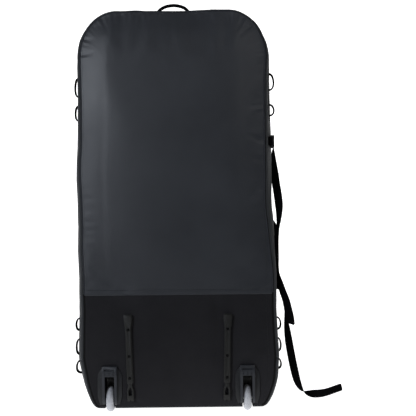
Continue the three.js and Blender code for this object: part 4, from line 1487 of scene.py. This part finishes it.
def make_hems():
    # the upper panel's turned edge lies over the lower panel
    xs = np.linspace(-1, 1, 120)
    grid = []
    for k, t in enumerate(np.linspace(0, 1, 9)):
        z = SPLIT - 0.0045 + 0.0155 * t
        width = float(half_width(z)) - 0.001
        lift = (0.9 * math.sin(math.pi * min(t * 1.15, 1) ** 0.6) + 0.25) * MM
        line = slumped([(x * width, REAR, z) for x in xs])
        grid.append([on_rear(x, z, lift) for x, _, z in line])
    hem = patch("hem_split", grid, COATED, 0.8 * MM)
    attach(hem, "bag")
    for k, z in enumerate((SPLIT + 0.0005, SPLIT + 0.0065)):
        width = float(half_width(z)) - 0.004
        line = slumped([(x * width, REAR, z) for x in np.linspace(-1, 1, 150)])
        stitch_row(f"stitch_split_{k}", [on_rear(x, z, 1.15 * MM) for x, _, z in line])
    # a row just inside each bound seam
    for tag, face in (("rear", on_rear), ("front", on_front)):
        loop = rear_outline(6.5 * MM, 0.25 * MM, face)
        if tag == "rear":
            keep = [p for p in loop if p.z > 0.075 or abs(p.x) > 0.24]
            parts = [[p for p in keep]]
        else:
            parts = [loop + [loop[0]]]
        for k, part in enumerate(parts):
            stitch_row(f"stitch_{tag}_{k}", part)


make_hems()


# ---- zip -----------------------------------------------------------------------------------
def make_zip():
    hinge = low("zip_chain").z
    outer = opening_outline(0.0004, hinge)
    inner = opening_outline(0.0096, hinge)
    line = opening_outline(0.0041, hinge)
    face = high("zip_chain").y
    back = low("zip_chain").y
    tape_y = face - 0.0014

    def dense(outline):
        return evenly([Vector((x, 0, z)) for x, z in outline], 260)

    a, b = dense(outer), dense(inner)
    grid = [[Vector((p.x, tape_y, p.z)) for p in a],
            [Vector(((p.x + q.x) / 2, tape_y + 0.0003, (p.z + q.z) / 2)) for p, q in zip(a, b)],
            [Vector((q.x, tape_y, q.z)) for q in b]]
    tape = patch("zip_tape", grid, BINDING, 0.9 * MM)
    path = [Vector((x, 0, z)) for x, z in line]
    count = int(path_length(path) / (1.9 * MM))
    spots = evenly(path, count)
    verts, faces = [], []
    for k in range(1, count - 1):
        tangent = (spots[k + 1] - spots[k - 1]).normalized()
        across = Vector((-tangent.z, 0, tangent.x))
        offset = 0.5 * MM * (1 if k % 2 else -1)
        first = len(verts)
        for t, r in ((-2.2, 0.35), (-1.6, 0.75), (0, 0.62), (1.6, 0.75), (2.2, 0.35)):
            centre = spots[k] + across * (t * MM + offset)
            centre.y = face - 0.0006
            for j in range(6):
                angle = TAU * j / 6
                verts.append(centre + tangent * (r * MM * math.cos(angle))
                             + Vector((0, r * MM * math.sin(angle), 0)))
        for i in range(4):
            for j in range(6):
                p0, q0 = first + i * 6 + j, first + i * 6 + (j + 1) % 6
                faces.append((p0, q0, q0 + 6, p0 + 6))
        faces.append(tuple(range(first + 5, first - 1, -1)))
        faces.append(tuple(range(first + 24, first + 30)))
    coil = add_object("zip_teeth", verts, faces, COIL, np.zeros((len(verts), 2)))
    sewn(coil, slot="zip_coil")
    sewn(tape, "zip_chain", slot="zip_coil")


def make_hinge_strip():
    """The cloth that the lid folds on, from the border up on to the lid."""
    hinge = low("front_lid").z
    width = high("front_lid").x - 0.002
    grid = []
    for z in np.linspace(hinge - 0.014, hinge + 0.016, 21):
        grid.append([on_front(x, z, 0.7 * MM) for x in np.linspace(-width, width, 60)])
    strip = patch("lid_hinge_strip", grid, HEAVY, 0.9 * MM)
    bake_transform(strip)


make_zip()
make_hinge_strip()


# ---- moulded parts, wheels and fixings -----------------------------------------------------
def keep_cad(node, material):
    """Shows the CAD mesh itself under this material."""
    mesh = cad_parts[node].data
    mesh.materials.clear()
    mesh.materials.append(material)


def rounded(profile, steps=5):
    """The profile with each corner turned into a small arc."""
    count = len(profile)
    result = []
    for i in range(count):
        p = Vector(profile[i]).to_3d()
        a, b = Vector(profile[i - 1]).to_3d(), Vector(profile[(i + 1) % count]).to_3d()
        r = min(1.0 * MM, (a - p).length * 0.35, (b - p).length * 0.35)
        start, end = p + (a - p).normalized() * r, p + (b - p).normalized() * r
        for k in range(steps):
            t = k / (steps - 1)
            q = start * (1 - t) ** 2 + p * (2 * t * (1 - t)) + end * t * t
            result.append((q.x, q.y))
    return result


def make_wheels():
    for side, tag in ((-1, "left"), (1, "right")):
        lo, hi = low("tyre_" + tag), high("tyre_" + tag)
        centre = (lo + hi) / 2
        body = "wheel_" + tag
        tyre = [(22.3, -10), (25, -11.5), (28.6, -11.4), (31.8, -9.9), (34.4, -7.7),
                (36.3, -5.2), (37.5, -2.6), (38, -0.5), (38, 0.5), (37.5, 2.6), (36.3, 5.2),
                (34.4, 7.7), (31.8, 9.9), (28.6, 11.4), (25, 11.5), (22.3, 10)]
        tyre = [(r * MM, x * MM) for r, x in tyre]
        sewn(lathe("tyre_cast_" + tag, rounded(tyre, 4), centre, (1, 0, 0), TYRE, 96),
             "tyre_" + tag, body=body, slot="urethane")
        hub = [(11.3, -9.5), (22, -9.5), (22, 9.5), (17, 9.5), (16.2, 6), (13.6, 6), (13, 9.5),
               (11.3, 9.5), (11.3, 2.2), (6, 2.2), (6, -2.2), (11.3, -2.2)]
        hub = [(r * MM, x * MM) for r, x in hub]
        sewn(lathe("hub_moulded_" + tag, rounded(hub, 4), centre, (1, 0, 0), HUB, 72),
             "hub_" + tag, body=body, slot="hub_plastic")
        for sign, end in ((-1, "a"), (1, "b")):
            names = {}
            for node in (f"bearing_{tag}_outer", f"bearing_{tag}_inner"):
                at = (low(node) + high(node)) / 2
                names[1 if at.x > centre.x else -1] = node
            race = [(4.3, 2.5), (11, 2.5), (11, 9.5), (9.6, 9.5), (9.0, 8.9), (6.6, 8.9),
                    (6.0, 9.5), (4.3, 9.5)]
            race = [(r * MM, sign * x * MM) for r, x in race]
            sewn(lathe(f"bearing_ring_{tag}_{end}", rounded(race, 3), centre, (1, 0, 0), STEEL,
                       48), names[sign], body=body, slot="steel")
        head = low("axle_" + tag).x - centre.x
        tip = high("axle_" + tag).x - centre.x
        axle = [(0, head), (0, head + 1.2 * MM), (2.4 * MM, head + 1.2 * MM),
                (2.6 * MM, head), (6.2 * MM, head), (7 * MM, head + 0.8 * MM),
                (7 * MM, head + 3 * MM), (4 * MM, head + 3 * MM), (4 * MM, tip - 0.6 * MM),
                (3.4 * MM, tip), (0, tip)]
        if high("axle_nut_" + tag).x < centre.x:
            axle = [(r, -x) for r, x in axle]
        sewn(lathe("axle_turned_" + tag, axle, centre, (1, 0, 0), STEEL, 40), "axle_" + tag,
             slot="steel")
        refined("axle_nut_" + tag, "bag", STEEL, bevel=0.4 * MM, segments=2)


def make_feet():
    for tag in ("left", "right"):
        node = "front_foot_" + tag
        lo, hi = low(node), high(node)
        centre = Vector(((lo.x + hi.x) / 2, (lo.y + hi.y) / 2, 0))
        top = hi.z
        foot = [(0, 0.0004), (5, 0.0004), (6, 0.0014), (7.5, 0.0014), (8.5, 0), (12.6, 0),
                (14.4, 0.0006), (16.2, 0.0024), (17.0, 0.0046), (17.5, 0.0070),
                (17.4, 0.0086), (18.0, 0.0100), (18.5, top - 0.001), (18.2, top), (0, top)]
        foot = [(r * MM, z) for r, z in foot]
        sewn(lathe("foot_moulded_" + tag, foot, centre, (0, 0, 1), RUBBER, 64), node,
             slot="foot_rubber")


def make_hardware():
    for tag in ("left", "right"):
        refined("wheel_housing_" + tag, "bag", HOUSING, bevel=0.9 * MM)
        refined("skid_rail_" + tag, "bag", RAIL, bevel=1.0 * MM)
        refined("skid_foot_" + tag, "bag", RAIL, bevel=0.8 * MM)
        for k in (1, 2, 3):
            refined(f"rail_screw_{tag}_{k}", "bag", DARK_STEEL, bevel=0.3 * MM, segments=2)
    for tag, body in (("upper", "upper_tongue"), ("lower", "lower_tongue")):
        socket = refined(f"{tag}_buckle_socket", "bag", BUCKLE, bevel=0.8 * MM)
        tongue = refined(f"{tag}_buckle_tongue", body, BUCKLE, bevel=0.6 * MM)
        # the buckles lie against the wall where it stands
        z = (low(f"{tag}_buckle_socket").z + high(f"{tag}_buckle_socket").z) / 2
        for piece in (socket, tongue):
            p = positions(piece.data)
            p[:, 0] -= drift(z)
            move_to(piece.data, p)
    for tag in ("low", "high"):
        refined("zip_slider_" + tag, "slider_" + tag, STEEL, bevel=0.5 * MM)
        refined("zip_pull_" + tag, "pull_" + tag, BUCKLE, bevel=0.5 * MM)
    refined("rear_board", "bag", SHEET, bevel=0.4 * MM, segments=2)
    refined("base_board", "bag", SHEET, bevel=0.4 * MM, segments=2)


make_wheels()
make_feet()
make_hardware()


# ---- studio --------------------------------------------------------------------------------
def make_studio():
    scene = bpy.context.scene

    def paper(name, verts, glow):
        n = Nodes(name)
        if glow == "fades":
            depth = n.node("ShaderNodeSeparateXYZ", {0: n.place()}).outputs[1]
            glow = n.ramp(depth, -0.55, -0.17, 0.0, 1.0)
        n.set(Base_Color=rgba(0.9, 0.9, 0.9), Roughness=0.9, Emission_Color=rgba(1, 1, 1),
              Emission_Strength=glow)
        add_object(name, verts, [(0, 1, 2, 3)], n.material)

    paper("floor", [(-9, -9, 0), (9, -9, 0), (9, 6, 0), (-9, 6, 0)], "fades")
    paper("backdrop", [(-7, 5, -0.01), (7, 5, -0.01), (7, 5, 7), (-7, 5, 7)], 1.0)
    world = bpy.data.worlds.new("studio")
    world.use_nodes = True
    world.node_tree.nodes["Background"].inputs[0].default_value = rgba(1, 1, 1)
    world.node_tree.nodes["Background"].inputs[1].default_value = 0.075
    scene.world = world
    scene.view_settings.view_transform = "Standard"

    def softbox(name, place, target, size, power, spread=180, colour=(1, 1, 1)):
        light = bpy.data.lights.new(name, "AREA")
        light.shape = "RECTANGLE"
        light.size, light.size_y = size
        light.energy = power
        light.spread = math.radians(spread)
        light.color = colour
        obj = bpy.data.objects.new(name, light)
        scene.collection.objects.link(obj)
        obj.location = place
        aim = Vector(target) - Vector(place)
        obj.rotation_euler = aim.to_track_quat("-Z", "Y").to_euler()

    softbox("softbox_left", (-1.65, -2.8, 1.28), (-0.25, -0.15, 0.95), (0.35, 1.1), 38,
            colour=(0.92, 0.98, 1.08))
    softbox("softbox_right", (1.3, -2.9, 1.95), (0.2, -0.15, 1.05), (0.4, 0.6), 7)
    softbox("softbox_side", (2.3, -0.10, 1.55), (0.29, 0, 1.0), (0.3, 0.5), 0.10, 60)
    softbox("softbox_front", (0.3, -3.6, 2.2), (0, 0, 0.6), (2.4, 1.4), 1.5)


make_studio()

bpy.data.objects.remove(SHELL)
